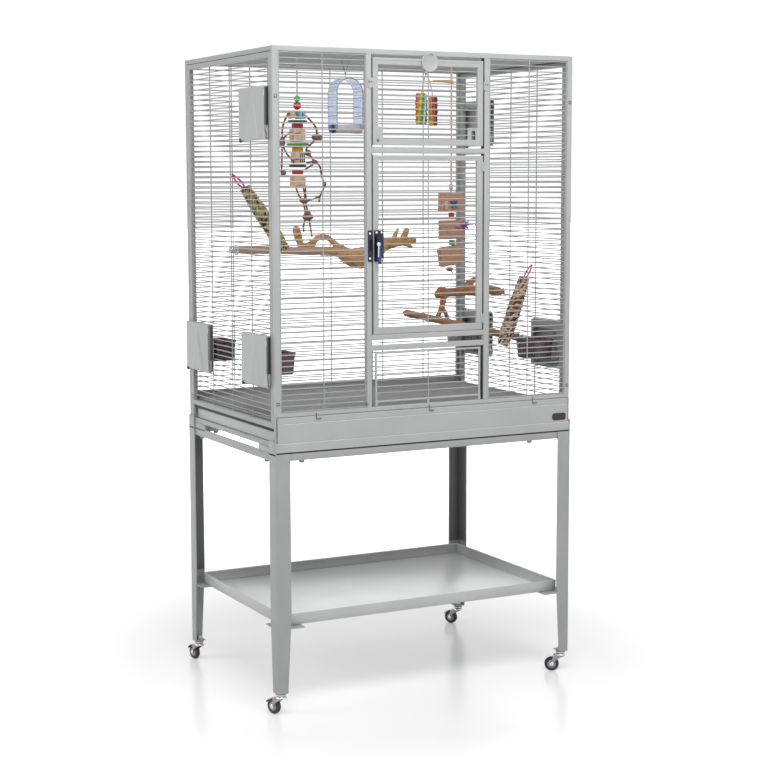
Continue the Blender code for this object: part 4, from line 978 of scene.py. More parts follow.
def doors():
    depth = (-0.0100, 0)
    main = wire_door("main_door_leaf", "main_door", (0.0150, 0.0160, 0.0120), -0.002, depth)
    for z in (0.9050, 1.2700):
        main.add(rod((0.1490, z, 0.0010), (0.1490, z + 0.022, 0.0010), 0.0022, 16), PALE)
        main.add(block((0.1420, 0.1480), (z + 0.002, z + 0.020), (0.0, 0.0014), 0.0005), PALE)
    main.fix("main_door", "light_grey_powder_coat", "main_door")

    top = wire_door("top_door_leaf", "top_door", (0.0145, 0.0140, 0.0160), -0.002, depth)
    top.add(holed_plate((0.1060, 0.1345), (1.3400, 1.3730), (0.1165, 0.1285), (1.3405, 1.3665), 0.0055,
                        (-0.0036, -0.0022)), PALE)
    top.add(plate(span_outline((0.1150, 0.1300), (1.3402, 1.3680), 0.0055), (-0.0095, -0.0080), 0.0004),
            ZINC_DARK)
    top.add(plate(span_outline((-0.1380, -0.1220), (1.3420, 1.3730), 0.0030), (-0.0036, -0.0022), 0.0005),
            PALE)
    top.add(rod((-0.1365, 1.3415, -0.0030), (-0.1365, 1.3415, 0.0012), 0.0034, 16), ZINC_DARK)
    top.fix("top_door", "light_grey_powder_coat", "top_door")

    low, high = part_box("bottom_door")
    bottom = Piece("bottom_door_leaf", FRONT)
    w = (-0.0055, -0.0005)
    feet_top = low.z + 0.0090
    bottom.add(frame_ring((low.x, high.x), (feet_top, high.z), (0.0055, 0.0055, 0.0050, 0.0050), w, 0.0022),
               PALE)
    inner_v = (feet_top + 0.005, high.z - 0.005)
    crosswires(bottom, (low.x + 0.004, high.x - 0.004), levels(*inner_v, DOOR_PITCH), -0.0028, FRONT_WIRE)
    uprights(bottom, (-0.002,), (inner_v[0] - 0.002, inner_v[1] + 0.002), -0.0028 + WELD, FRONT_WIRE)
    for u in (low.x + 0.0031, -0.002, high.x - 0.0031):
        outline_points = [(u - 0.0030, low.z), (u + 0.0030, low.z), (u + 0.0030, feet_top),
                          (u + 0.0048, feet_top + 0.003), (u - 0.0048, feet_top + 0.003),
                          (u - 0.0030, feet_top)]
        if u != -0.002:
            outline_points = [(u - 0.0030, low.z), (u + 0.0030, low.z), (u + 0.0030, feet_top + 0.003),
                              (u - 0.0030, feet_top + 0.003)]
        bottom.add(plate(outline_points, w, 0.0006), PALE)
    bottom.fix("bottom_door", "light_grey_powder_coat", "bottom_door")


def latches():
    low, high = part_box("latch_keeper")
    keeper = Piece("keeper_plate", FRONT)
    base = 0.0003
    keeper.add(plate(span_outline((low.x, high.x), (low.z, high.z), 0.0022), (base, 0.0026), 0.0006), BLUED)
    keeper.add(block((-0.1575, -0.1537), (1.0840, 1.1120), (0.0020, 0.0088), 0.0010), BLUED)
    for z in (low.z + 0.0075, high.z - 0.0075):
        keeper.add(moved(turned([(0, 0.0046), (0.0018, 0.0042), (0.0028, 0.0030), (0.0028, 0.0020),
                                 (0, 0.0020)], 18),
                         Matrix.Translation((low.x + 0.0050, z, 0))), STEEL)
    keeper.fix("cage", "dark_blued_steel", "latch_keeper")

    low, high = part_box("latch_body")
    body = Piece("latch_case", FRONT)
    body.add(plate(span_outline((low.x, high.x), (low.z, high.z), 0.0024), (base, 0.0030), 0.0006), BLUED)
    body.add(block((low.x + 0.0030, high.x - 0.0030), (low.z + 0.0100, high.z - 0.0100), (0.0020, 0.0118),
                   0.0026, 4),
             BLUED)
    for u, v in ((low.x + 0.0055, high.z - 0.0055), (high.x - 0.0055, high.z - 0.0055),
                 (high.x - 0.0055, low.z + 0.0055)):
        rivet = turned([(0, 0.0056), (0.0018, 0.0052), (0.0030, 0.0038), (0.0030, 0.0024), (0, 0.0024)], 18)
        body.add(moved(rivet, Matrix.Translation((u, v, 0))), STEEL)
    body.fix("main_door", "dark_blued_steel", "latch_body")

    low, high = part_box("latch_lever")
    lever = Piece("lever_arm", FRONT)
    u = (low.x + high.x) / 2
    pivot = 1.1010
    near, far = 0.0128, 0.0168
    lever.add(moved(turned([(0, far), (0.0022, far - 0.0002), (0.0040, far - 0.0012), (0.0050, near + 0.0010),
                            (0.0050, near), (0, near)], 24), Matrix.Translation((u - 0.0015, pivot, 0))),
                            STEEL)
    lever.add(plate([(u - 0.0050, pivot - 0.030), (u - 0.0028, pivot - 0.030), (u - 0.0018, pivot - 0.004),
                     (u - 0.0046, pivot - 0.004)], (near + 0.0020, near + 0.0036), 0.0005), STEEL)
    arm = [(u - 0.0030, pivot), (u + 0.0030, pivot), (u + 0.0040, pivot - 0.018), (u + 0.0036, pivot - 0.034),
           (u + 0.0046, low.z + 0.0050), (u + 0.0020, low.z + 0.0008), (u - 0.0020, low.z + 0.0008),
           (u - 0.0046, low.z + 0.0050), (u - 0.0036, pivot - 0.034), (u - 0.0040, pivot - 0.018)]
    lever.add(plate(arm[::-1], (near + 0.0005, near + 0.0030), 0.0008), LEVER)
    lever.fix("latch_lever", "dark_blued_steel", "latch_lever")

    low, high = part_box("disc_latch")
    centre = Matrix.Translation((0, (low.z + high.z) / 2, 0))
    disc = Piece("disc_button", FRONT)
    rim = (high.z - low.z) / 2
    face = 0.0034
    disc.add(moved(turned([(0, 0.0012), (rim - 0.0008, 0.0012), (rim, 0.0018), (rim, face - 0.0008),
                           (rim - 0.0008, face), (rim - 0.0030, face), (rim - 0.0034, face - 0.0003),
                           (0, face - 0.0003)], 64), centre), PALE)
    disc.add(moved(rod((0, 0, -0.0138), (0, 0, 0.0014), 0.0030, 20), centre), ZINC)
    disc.add(moved(plate(span_outline((-0.0168, 0.0168), (-0.0048, 0.0048), 0.0040), (-0.0143, -0.0127),
                         0.0004),
                   centre), GREY)
    mark = [Vector((0.0030 + 0.0040 * math.cos(a), 0.0165 + 0.0024 * math.sin(a), face - 0.0001))
            for a in [math.radians(d) for d in range(-60, 181, 20)]]
    disc.add(moved(tube(mark, 0.0006, 8), centre), ZINC_DARK)
    disc.fix("disc", "light_grey_powder_coat", "disc_latch")


# ---------------------------------------------------------------- feeders
def hood_skin(u, v, near, far):
    """Pressed cover: folded rim, rounded shoulders and two raised creases like a tent."""
    fold, count = 0.0026, 44
    edge = [(0.0, far - near), (0.0, fold), (fold * 0.13, fold * 0.5), (fold * 0.5, fold * 0.13)]

    def line(low, high):
        inside = [low + fold + (high - low - 2 * fold) * i / count for i in range(count + 1)]
        stations = [(low + inset, drop) for inset, drop in edge]
        stations += [(value, 0.0) for value in inside]
        return stations + [(high - inset, drop) for inset, drop in edge[::-1]]
    columns, rows = line(*u), line(*v)
    wide, tall = u[1] - u[0], v[1] - v[0]

    def relief(a, b):
        """Height of the tent between the two creases."""
        s, t = (a - u[0]) / wide, (b - v[0]) / tall
        spread = 0.02 + 0.26 * max(0.0, 0.90 - t)
        inside = spread - abs(s - 0.54)
        fade = min(1.0, max(0.0, (0.92 - t) / 0.2)) * min(1.0, t / 0.04)
        return 0.0021 * fade * min(1.0, max(0.0, inside / 0.022))
    part = bmesh.new()
    grid = []
    for b, drop_b in rows:
        grid.append([part.verts.new((a, b, far - max(drop_a,
                                                     drop_b) + (relief(a, b) if drop_a + drop_b == 0 else 0)))
                     for a, drop_a in columns])
    for low_row, high_row in zip(grid, grid[1:]):
        for i in range(len(columns) - 1):
            part.faces.new((low_row[i], low_row[i + 1], high_row[i + 1], high_row[i]))
    bmesh.ops.remove_doubles(part, verts=part.verts, dist=1e-6)
    bmesh.ops.dissolve_degenerate(part, dist=1e-7, edges=part.edges)
    bmesh.ops.solidify(part, geom=part.faces[:], thickness=0.0012)
    return part


def hoods():
    for side, places in HOODS.items():
        plane = LEFT if side == "left" else RIGHT
        for level, end in places:
            u, v, *_ = opening_of(side, level, end)
            name = "feeder_door_%s_%s_%s" % (side, level, end)
            piece = Piece(name.replace("door", "cover"), plane)
            far = HOOD_DEPTH - 0.0012
            piece.add(hood_skin((u[0] + 0.0004, u[1] - 0.0004), (v[0] + 0.0004, v[1] - 0.0004), 0.0010,
                                far), COVER)
            front_u = u[1] if side == "left" else u[0]
            rear_u = u[0] if side == "left" else u[1]
            way = 1 if side == "left" else -1
            knob = turned([(0, 0.0132), (0.0030, 0.0130), (0.0044, 0.0120), (0.0048, 0.0090),
                           (0.0036, 0.0060),
                           (0, 0.0060)], 20)
            piece.add(moved(knob, Matrix.Translation((rear_u + way * 0.0095, v[0] + 0.0010, 0))), BLACK)
            # cheeks on the hood's open front side: dark plates of painted shade for the inside of the fold,
            # paler on the rear left hood
            cheek = (front_u - way * 0.0004, front_u + way * 0.0003)
            shade_tones = (SHADE, PAINTED_SHADE_BLACK) if end == "front" or side == "right" else (FLOOR, SHADE)
            piece.add(block(cheek, (v[0] + 0.0330, v[1] - 0.0030), (0.0062, 0.0106), 0.0001), shade_tones[0])
            piece.add(block(cheek, (v[0] + 0.0330, v[1] - 0.0030), (0.0010, 0.0062), 0.0001), shade_tones[1])
            loop_u = front_u + way * 0.0010
            loop = [(loop_u, v[0] + 0.0330, 0.0030), (loop_u, v[0] + 0.0300, 0.0084),
                    (loop_u, v[0] + 0.0230, 0.0086),
                    (loop_u, v[0] + 0.0130, 0.0060), (loop_u, v[0] + 0.0060, 0.0072),
                    (loop_u, v[0] + 0.0020, 0.0030)]
            piece.add(tube(smooth_path(loop, 5), 0.0011, 8), ZINC_DARK)
            for z in (v[0] + 0.016, v[1] - 0.016):
                piece.add(rod((front_u, z - 0.007, far), (front_u, z + 0.007, far), 0.0011, 10), ZINC)
            piece.fix(name, "grey_powder_coat", name)


def cups():
    """Smoky feeding cups with a rolled rim and two hooks over the wall wires."""
    for side, sx in (("left", -1), ("right", 1)):
        for end in ("front", "rear"):
            node = "feeder_cup_%s_%s" % (side, end)
            low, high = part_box(node)
            centre = (low + high) / 2
            half = (high - low) / 2
            rows = [(0.0085, low.z + 0.0004), (0.0066, low.z + 0.0012), (0.0058, low.z + 0.0040),
                    (0.0024, high.z - 0.0072), (0.0016, high.z - 0.0052), (0.0003, high.z - 0.0046),
                    (0.0, high.z - 0.0030), (0.0004, high.z - 0.0006), (0.0018, high.z),
                    (0.0032, high.z - 0.0006),
                    (0.0040, high.z - 0.0030), (0.0080, low.z + 0.0070), (0.0110, low.z + 0.0034)]
            rings = [[(u, v, z) for u, v in outline(half.x - inset, half.y - inset,
                                                    max(0.0140 - inset, 0.004), 7,
                                                    (centre.x, centre.y))] for inset, z in rows]
            piece = Piece("cup_shell_%s_%s" % (side, end))
            piece.add(loft(rings), CUP)
            wall_x = sx * (max(abs(low.x), abs(high.x)) - 0.0012)
            for shift in (-0.022, 0.022):
                piece.add(block((wall_x, wall_x + sx * 0.0012),
                                (centre.y + shift - 0.004, centre.y + shift + 0.004),
                                (high.z - 0.0140, high.z - 0.0002), 0.0004), CUP)
            piece.fix(node, "brown_plastic", node, sharp=60)


# ---------------------------------------------------------------- perches
def wall_perch(side, node, free_end):
    """Turned perch: round tip, faint turning rings, washer, bolt and wing nut."""
    sx = -1 if side == "left" else 1
    wall_x = sx * 0.3905
    y, z = PERCH_ROOTS[side]
    root, tip = Vector((wall_x, y, z)), Vector(free_end)
    along = (tip - root).normalized()
    length = (tip - root).length
    count = 40
    points = [root + along * (length * i / count) for i in range(count + 1)]

    def size(t):
        near_tip = (1 - t) * length
        round_off = 1.0 if near_tip > 0.008 else math.sqrt(max(0.06, 1 - (1 - near_tip / 0.008) ** 2))
        return round_off * (1 + 0.012 * math.sin(46 * t))
    piece = Piece("perch_" + side)
    piece.add(tube(points, 0.0090, 24, size), DOWEL if side == "left" else DOWEL_BROWN)
    piece.add(rod((wall_x + sx * 0.0020, y, z), (wall_x - sx * 0.0010, y, z), 0.0130, 28), ZINC)
    piece.add(rod((wall_x, y, z), (sx * 0.4098, y, z), 0.0028, 14), ZINC)
    piece.add(rod((sx * 0.4036, y, z), (sx * 0.4062, y, z), 0.0070, 20), ZINC)
    for up in (-1, 1):
        wing = [(sx * 0.4058, y, z + up * 0.002), (sx * 0.4072, y, z + up * 0.0060),
                (sx * 0.4080, y, z + up * 0.0086)]
        piece.add(tube(smooth_path(wing, 3), 0.0019, 8), ZINC)
    piece.fix("cage", "turned_wood", node)


def wall_middle(z):
    """Height midway between two wires of a side wall, nearest to z."""
    bars = levels(WIRE_ZONE_Z, SIDE_TOP_Z, WALL_PITCH)
    return min(((a + b) / 2 for a, b in zip(bars, bars[1:])), key=lambda middle: abs(middle - z))


PERCH_ROOTS = {"left": (-0.020, wall_middle(1.078)), "right": (-0.045, wall_middle(0.835))}


def branch(name, limbs, material, extras, node, slot, seed):
    """Knotty driftwood: swollen limbs blended into one skin, then weathered."""
    random.seed(seed)
    holder = bmesh.new()
    for points, start_radius, end_radius in limbs:
        path = smooth_path(points, 7)
        wander = random.uniform(0, 40)

        def size(t):
            swell = 1 + 0.16 * noise.noise(Vector((t * 5.0, wander, 0)))
            return (start_radius + (end_radius - start_radius) * t) / start_radius * swell
        part = tube(path, start_radius, 14, size)
        mesh = bpy.data.meshes.new("limb")
        part.to_mesh(mesh)
        part.free()
        holder.from_mesh(mesh)
        bpy.data.meshes.remove(mesh)
        for end, radius in ((path[0], start_radius), (path[-1], end_radius)):
            bmesh.ops.create_uvsphere(holder, u_segments=12, v_segments=8, radius=radius * 0.95,
                                      matrix=Matrix.Translation(end))
    mesh = bpy.data.meshes.new(name)
    holder.to_mesh(mesh)
    holder.free()
    made = bpy.data.objects.new(name, mesh)
    bpy.context.scene.collection.objects.link(made)
    skin = made.modifiers.new("skin", "REMESH")
    skin.mode = "VOXEL"
    skin.voxel_size = 0.0016
    relax = made.modifiers.new("relax", "SMOOTH")
    relax.iterations = 5
    graph = bpy.context.evaluated_depsgraph_get()
    result = bpy.data.meshes.new_from_object(made.evaluated_get(graph))
    bpy.data.objects.remove(made)
    part = bmesh.new()
    part.from_mesh(result)
    bpy.data.meshes.remove(result)
    part.normal_update()
    for vert in part.verts:
        place = vert.co * 55
        rough = noise.fractal(Vector((place.x * 0.35, place.y, place.z)), 1.0, 2.0, 4)
        vert.co += vert.normal * (0.0011 * rough)
    piece = Piece(name)
    piece.add(part, material)
    for extra, finish in extras:
        piece.add(extra, finish)
    piece.fix("cage", slot, node, sharp=80)


def branches():
    y = 0.050
    bars = levels(FRONT_Z[0] - 0.0007 + 0.0060, TOP_Z, WALL_PITCH)
    back_z = min(((a + b) / 2 for a, b in zip(bars, bars[1:])), key=lambda z: abs(z - 1.060))
    left = [([(-0.1994, y, 1.1270), (-0.1940, y, 1.1080), (-0.1863, y, 1.0880)], 0.0102, 0.0095),
            ([(-0.1880, y, 1.0855), (-0.1700, y, 1.0866), (-0.1543, y, 1.0950), (-0.1395, y, 1.1065),
              (-0.1245, y, 1.1108)], 0.0092, 0.0068),
            ([(-0.1290, y, 1.1105), (-0.1120, y, 1.1059), (-0.0972, y, 1.0946), (-0.0822, y, 1.0837),
              (-0.0642, y, 1.0745)], 0.0068, 0.0090),
            ([(-0.1500, y, 1.0810), (-0.1063, y, 1.0740), (-0.0727, y, 1.0665), (-0.0500, y, 1.0590)],
             0.0050, 0.0200),
            ([(-0.0640, y, 1.0620), (-0.0450, y, 1.0555), (-0.0150, y, 1.0535)], 0.0190, 0.0272),
            ([(-0.0200, y, 1.0535), (0.0050, y, 1.0590), (0.0260, y, 1.0740), (0.0474, y, 1.0865)], 0.0268,
             0.0160),
            ([(0.0400, y, 1.0840), (0.0915, y, 1.0925), (0.1370, y, 1.0955)], 0.0156, 0.0062),
            ([(0.0770, y, 1.0980), (0.0800, y, 1.1100), (0.0872, y, 1.1255)], 0.0090, 0.0036),
            ([(0.1020, y, 1.0970), (0.1070, y, 1.1090), (0.1130, y, 1.1215)], 0.0100, 0.0076),
            ([(0.1000, y, 1.0890), (0.1150, y, 1.0850), (0.1270, y, 1.0788)], 0.0060, 0.0045)]
    anchor = [(rod((-0.030, y + 0.010, back_z), (-0.030, 0.2590, back_z), 0.0085, 18), PEG),
              (rod((-0.030, 0.2530, back_z), (-0.030, 0.2600, back_z), 0.0100, 24), ZINC)]
    branch("branch_left", left, BARK, anchor, "branch_perch_left", "driftwood", 4)

    wall_z = wall_middle(0.960)
    right = [([(0.3900, y, wall_z), (0.345, y, 0.962), (0.300, y, 0.960)], 0.0125, 0.0140),
             ([(0.310, y, 0.960), (0.260, y, 0.958), (0.205, y, 0.953)], 0.0120, 0.0105),
             ([(0.290, y, 0.964), (0.300, y + 0.001, 0.978), (0.316, y + 0.002, 0.988)], 0.0120, 0.0080),
             ([(0.232, y, 0.956), (0.218, y, 0.966), (0.206, y, 0.955)], 0.0080, 0.0100),
             ([(0.224, y, 0.952), (0.220, y, 0.930), (0.215, y, 0.910)], 0.0090, 0.0070),
             ([(0.217, y, 0.920), (0.208, y - 0.001, 0.902), (0.197, y - 0.002, 0.886)], 0.0070, 0.0060),
             ([(0.217, y, 0.920), (0.230, y + 0.001, 0.902), (0.236, y + 0.002, 0.886)], 0.0065, 0.0050)]
    bolt = [(rod((0.3895, y, wall_z), (0.4098, y, wall_z), 0.0028, 14), ZINC),
            (rod((0.4036, y, wall_z), (0.4082, y, wall_z), 0.0086, 6), ZINC)]
    branch("branch_right", right, RED_BARK, bolt, "branch_perch_right", "driftwood", 9)


def stick_girth(t):
    """Share of the full radius from the bottom, t = 0, to the top."""
    return min(1.0, 0.78 + 0.22 * t / 0.22, 0.74 + 0.26 * (1 - t) / 0.35)


def toy_girth(t):
    return 0.86 + 0.14 * math.sin(math.pi * t) ** 0.4


STICK_ROLL = (stick_girth, None)


def woven_roll(piece, top, bottom, radius, finishes, rows, columns, seed, lift, slant, roll):
    """Basket-woven roll: strips pass over and under.

    roll holds the girth along the roll and the finish of each strip, or None to mix them.
    """
    girth, order = roll
    random.seed(seed)
    top, bottom = Vector(top), Vector(bottom)
    along = (top - bottom).normalized()
    side = along.orthogonal().normalized()
    turn = along.cross(side)
    length = (top - bottom).length
    across = 3
    for i in range(rows):
        for j in range(columns):
            over = (i + j) % 2
            pick = order[j % len(order)] if order else random.choices(range(len(finishes)), STRIP_WEIGHTS)[0]
            finish = finishes[pick]
            part = bmesh.new()
            grid = []
            for a in range(across + 1):
                line = []
                for b in range(across + 1):
                    s, t = a / across, b / across
                    crown = math.sin(math.pi * s) * math.sin(math.pi * t)
                    height = length * (i + 0.04 + 0.92 * s) / rows
                    angle = 2 * math.pi * (j + 0.04 + 0.92 * t + slant * (i + s)) / columns
                    out = radius * girth(height / length) - lift * (1 - crown * (1.0 if over else 0.45))
                    line.append(part.verts.new(bottom + along * height
                                               + (side * math.cos(angle) + turn * math.sin(angle)) * out))
                grid.append(line)
            for low_row, high_row in zip(grid, grid[1:]):
                for b in range(across):
                    part.faces.new((low_row[b], low_row[b + 1], high_row[b + 1], high_row[b]))
            bmesh.ops.recalc_face_normals(part, faces=part.faces)
            outward = (part.faces[:][0].calc_center_median() - bottom)
            outward -= along * outward.dot(along)
            if part.faces[:][0].normal.dot(outward) < 0:
                bmesh.ops.reverse_faces(part, faces=part.faces)
            bmesh.ops.solidify(part, geom=part.faces[:], thickness=0.0010)
            piece.add(part, finish)
    core = [bottom + along * (length * (0.01 + 0.98 * i / 12)) for i in range(13)]
    piece.add(tube(core, radius - lift * 1.2, 20, lambda t: girth(0.01 + 0.98 * t)), finishes[2])


def seed_sticks():
    for side, top, bottom, radius, wall, finishes, seed in (
            ("left", (-0.3635, -0.012, 1.2326), (-0.2727, -0.043, 1.0818), 0.0195, (-0.3930, -0.0045, 1.2649),
             WEAVE_LEFT, 3),
            ("right", (0.3693, -0.112, 1.0016), (0.3107, -0.102, 0.8274), 0.0200, (0.3930, -0.110, 1.0330),
             WEAVE_RIGHT, 8)):
        piece = Piece("chew_stick_" + side)
        woven_roll(piece, top, bottom, radius, finishes, 26, 17, seed, 0.0030, 0.45, STICK_ROLL)
        top, wall = Vector(top), Vector(wall)
        inner = top + (Vector(bottom) - top).normalized() * 0.006
        bow = (wall - inner).cross(Vector((0, 1, 0))).normalized() * 0.0046
        for way in (-1, 1):
            loop = [inner, inner.lerp(wall, 0.35) + bow * way, inner.lerp(wall, 0.7) + bow * way * 0.8, wall]
            piece.add(tube(smooth_path(loop, 6), 0.0022, 10), PINK)
        node = "seed_stick_" + side
        piece.fix("cage", "woven_fibre", node, sharp=80)


# ---------------------------------------------------------------- hanging toys
def upright(x, z, y=0.0):
    return Matrix.Translation((x, y, z))


def drum(piece, x, z, radius, height, material, y=0.0):
    """Short turned wooden disc or bead on the string."""
    half = height / 2
    edge = min(0.0012, height * 0.25)
    piece.add(moved(turned([(0, -half), (radius - edge, -half), (radius, -half + edge), (radius, half - edge),
                            (radius - edge, half), (0, half)], 28), upright(x, z, y)), material)


def twisted(piece, points, radius, material, turns):
    """Cord of two strands twisted along a smooth path."""
    strands = 2
    path = smooth_path(points, 10)
    for k in range(strands):
        phase = 2 * math.pi * k / strands
        strand = []
        normal = None
        for i, point in enumerate(path):
            ahead = (path[min(i + 1, len(path) - 1)] - path[max(i - 1, 0)]).normalized()
            normal = ahead.orthogonal().normalized() if normal is None else normal
            normal = (normal - ahead * normal.dot(ahead)).normalized()
            side = ahead.cross(normal)
            angle = phase + turns * 2 * math.pi * i / len(path)
            strand.append(point + (normal * math.cos(angle) + side * math.sin(angle)) * radius * 0.5)
        piece.add(tube(strand, radius * 0.62, 7), material)


def bead_toy():
    x = -0.217
    piece = Piece("bead_string")
    hook = [(x + 0.003, 0, HANG_Z - 0.0040), (x + 0.0026, 0, HANG_Z - 0.0008),
            (x - 0.001, 0, HANG_Z - 0.0004),
            (x - 0.0026, 0, HANG_Z - 0.0040), (x, 0, HANG_Z - 0.0100), (x, 0, HANG_Z - 0.0160)]
    piece.add(tube(smooth_path(hook, 5), 0.0009, 8), ZINC)
    twisted(piece, [(x, 0, HANG_Z - 0.015), (x, 0, 1.49), (x, 0, 1.455)], 0.0022, TOY_CORD, 9)
    piece.add(ball((x, 0, 1.4470), 0.0080), BRIGHT_GREEN)
    piece.add(ball((x, 0, 1.4300), 0.0100), BRIGHT_RED)
    cube = Matrix.Translation((x + 0.0075, -0.001, 1.4085)) @ Matrix.Rotation(0.22, 4, "Z")
    piece.add(moved(block((-0.0098, 0.0098), (-0.0098, 0.0098), (-0.0100, 0.0100), 0.0014, 3), cube), SKY)
    piece.add(moved(block((-0.0015, 0.0015), (-0.0101, -0.0094), (-0.0045, 0.0045), 0.0003), cube), NAVY)
    chip = Matrix.Translation((x - 0.0150, 0.001, 1.4085)) @ Matrix.Rotation(-0.3, 4, "Y")
    piece.add(moved(block((-0.0072, 0.0072), (-0.0100, 0.0100), (-0.0088, 0.0088), 0.0012), chip), PINE)
    drum(piece, x, 1.3925, 0.0240, 0.0052, DARK_GREEN)
    drum(piece, x, 1.3810, 0.0140, 0.0120, RED)
    piece.add(block((x - 0.0160, x + 0.0160), (-0.0135, 0.0135), (1.3440, 1.3738), 0.0018, 3), PINE)
    drum(piece, x, 1.3368, 0.0268, 0.0056, GREEN)
    drum(piece, x, 1.3245, 0.0140, 0.0115, YELLOW)
    piece.add(block((x - 0.0130, x + 0.0130), (-0.0128, 0.0128), (1.2920, 1.3160), 0.0016, 3), PINE)
    drum(piece, x, 1.2845, 0.0208, 0.0060, DARK)
    drum(piece, x, 1.2702, 0.0140, 0.0120, RED)
    piece.add(block((x - 0.0150, x + 0.0150), (-0.0145, 0.0145), (1.2335, 1.2610), 0.0018, 3), PINE)
    for z0, shift, reach in ((1.3640, -0.018, 0.010), (1.2385, -0.014, 0.0185)):
        piece.add(rod((x + shift - reach, -0.0150, z0 - reach * 0.3),
                      (x + shift + 0.020, -0.0140, z0 + 0.003), 0.0026, 10,
                      0.0036), PEG)
    drum(piece, x + 0.0105, 1.3368, 0.0168, 0.0062, DARK, -0.0030)
    piece.add(block((x + 0.0012, x + 0.0142), (-0.0142, 0.0120), (1.2935, 1.3145), 0.0014), DARK)
    for shift in (0.0035, 0.0085):
        piece.add(block((x + shift, x + shift + 0.0024), (-0.0147, -0.0140), (1.2945, 1.3130), 0.0003),
                  STRING)
    piece.add(rod((x - 0.0120, -0.0145, 1.3010), (x - 0.0010, -0.0150, 1.3040), 0.0030, 10, 0.0020), NUT)
    vine = [[(x - 0.012, -0.004, 1.414), (-0.2450, -0.006, 1.408), (-0.2590, -0.006, 1.378),
             (-0.2600, -0.005, 1.346),
             (-0.2610, -0.004, 1.300), (-0.2620, -0.003, 1.262)],
            [(-0.2590, -0.005, 1.336), (-0.2500, -0.006, 1.316), (-0.2300, -0.008, 1.292)],
            [(-0.2350, -0.010, 1.366), (-0.2540, -0.010, 1.356), (-0.2600, -0.006, 1.338)],
            [(x + 0.014, -0.004, 1.410), (-0.1880, -0.006, 1.398), (-0.1700, -0.006, 1.378),
             (-0.1660, -0.005, 1.358)],
            [(-0.1700, -0.005, 1.348), (-0.1870, -0.007, 1.335), (-0.1966, -0.007, 1.323),
             (-0.1843, -0.007, 1.307),
             (-0.1749, -0.007, 1.297), (-0.1595, -0.007, 1.282), (-0.1559, -0.007, 1.261),
             (-0.1473, -0.006, 1.241)],
            [(-0.1475, -0.006, 1.238), (-0.1520, -0.006, 1.225), (-0.1601, -0.006, 1.210),
             (-0.1626, -0.006, 1.197)],
            [(-0.1580, -0.006, 1.212), (-0.1780, -0.006, 1.204), (-0.2006, -0.005, 1.200)],
            [(-0.1968, -0.009, 1.293), (-0.1860, -0.008, 1.294), (-0.1749, -0.007, 1.298)],
            [(-0.2016, -0.008, 1.275), (-0.1920, -0.008, 1.281), (-0.1790, -0.007, 1.288)],
            [(-0.2029, -0.009, 1.311), (-0.1950, -0.009, 1.318), (-0.1880, -0.008, 1.312)],
            [(-0.2290, -0.010, 1.240), (-0.2190, -0.008, 1.215), (-0.2060, -0.005, 1.200)],
            [(-0.2080, -0.010, 1.236), (-0.2020, -0.008, 1.215), (-0.2020, -0.005, 1.200)],
            [(-0.2010, -0.010, 1.236), (-0.2000, -0.008, 1.215), (-0.1960, -0.005, 1.200)],
            [(-0.2050, -0.003, 1.200), (-0.2000, -0.003, 1.180), (-0.1960, -0.003, 1.166)],
            [(-0.1980, -0.003, 1.200), (-0.1940, -0.003, 1.180), (-0.1900, -0.003, 1.166)],
            [(-0.1990, -0.003, 1.154), (-0.2040, -0.003, 1.138), (-0.2030, -0.003, 1.1235)],
            [(-0.1880, -0.003, 1.154), (-0.1850, -0.003, 1.134), (-0.1810, -0.003, 1.1115)]]
    for points in vine:
        twisted(piece, points, 0.0025, VINE, 7)
    for centre, squash in (((-0.2600, -0.005, 1.3415), (0.8, 0.8, 1.2)),
                           ((-0.1660, -0.005, 1.3540), (1.5, 1.1, 0.95)),
                           ((-0.1920, -0.003, 1.1600), (1.5, 1.1, 0.90)),
                           ((-0.2020, -0.004, 1.2000), (1.3, 0.9, 0.7)),
                           ((-0.1473, -0.006, 1.2400), (0.5, 0.5, 0.8)),
                           ((-0.1920, -0.008, 1.3160), (0.8, 0.7, 0.8)),
                           ((-0.1750, -0.008, 1.2940), (0.9, 0.6, 0.6)),
                           ((-0.1930, -0.003, 1.1690), (0.9, 0.8, 0.7)),
                           ((-0.2560, -0.004, 1.2680), (0.6, 0.5, 0.7))):
        piece.add(ball(centre, 0.0098, squash), NUT)
    piece.fix("bead_toy", "toy_wood", "bead_toy")


def star(piece, centre, radius, material):
    """Small moulded jack: arms on three axes."""
    for k in range(3):
        angle = math.pi * k / 3 + 0.3
        arm = Vector((math.cos(angle), 0, math.sin(angle))) * radius
        piece.add(rod(Vector(centre) - arm, Vector(centre) + arm, 0.0022, 10), material)
        for way in (-1, 1):
            piece.add(ball(Vector(centre) + arm * way, 0.0030), material)


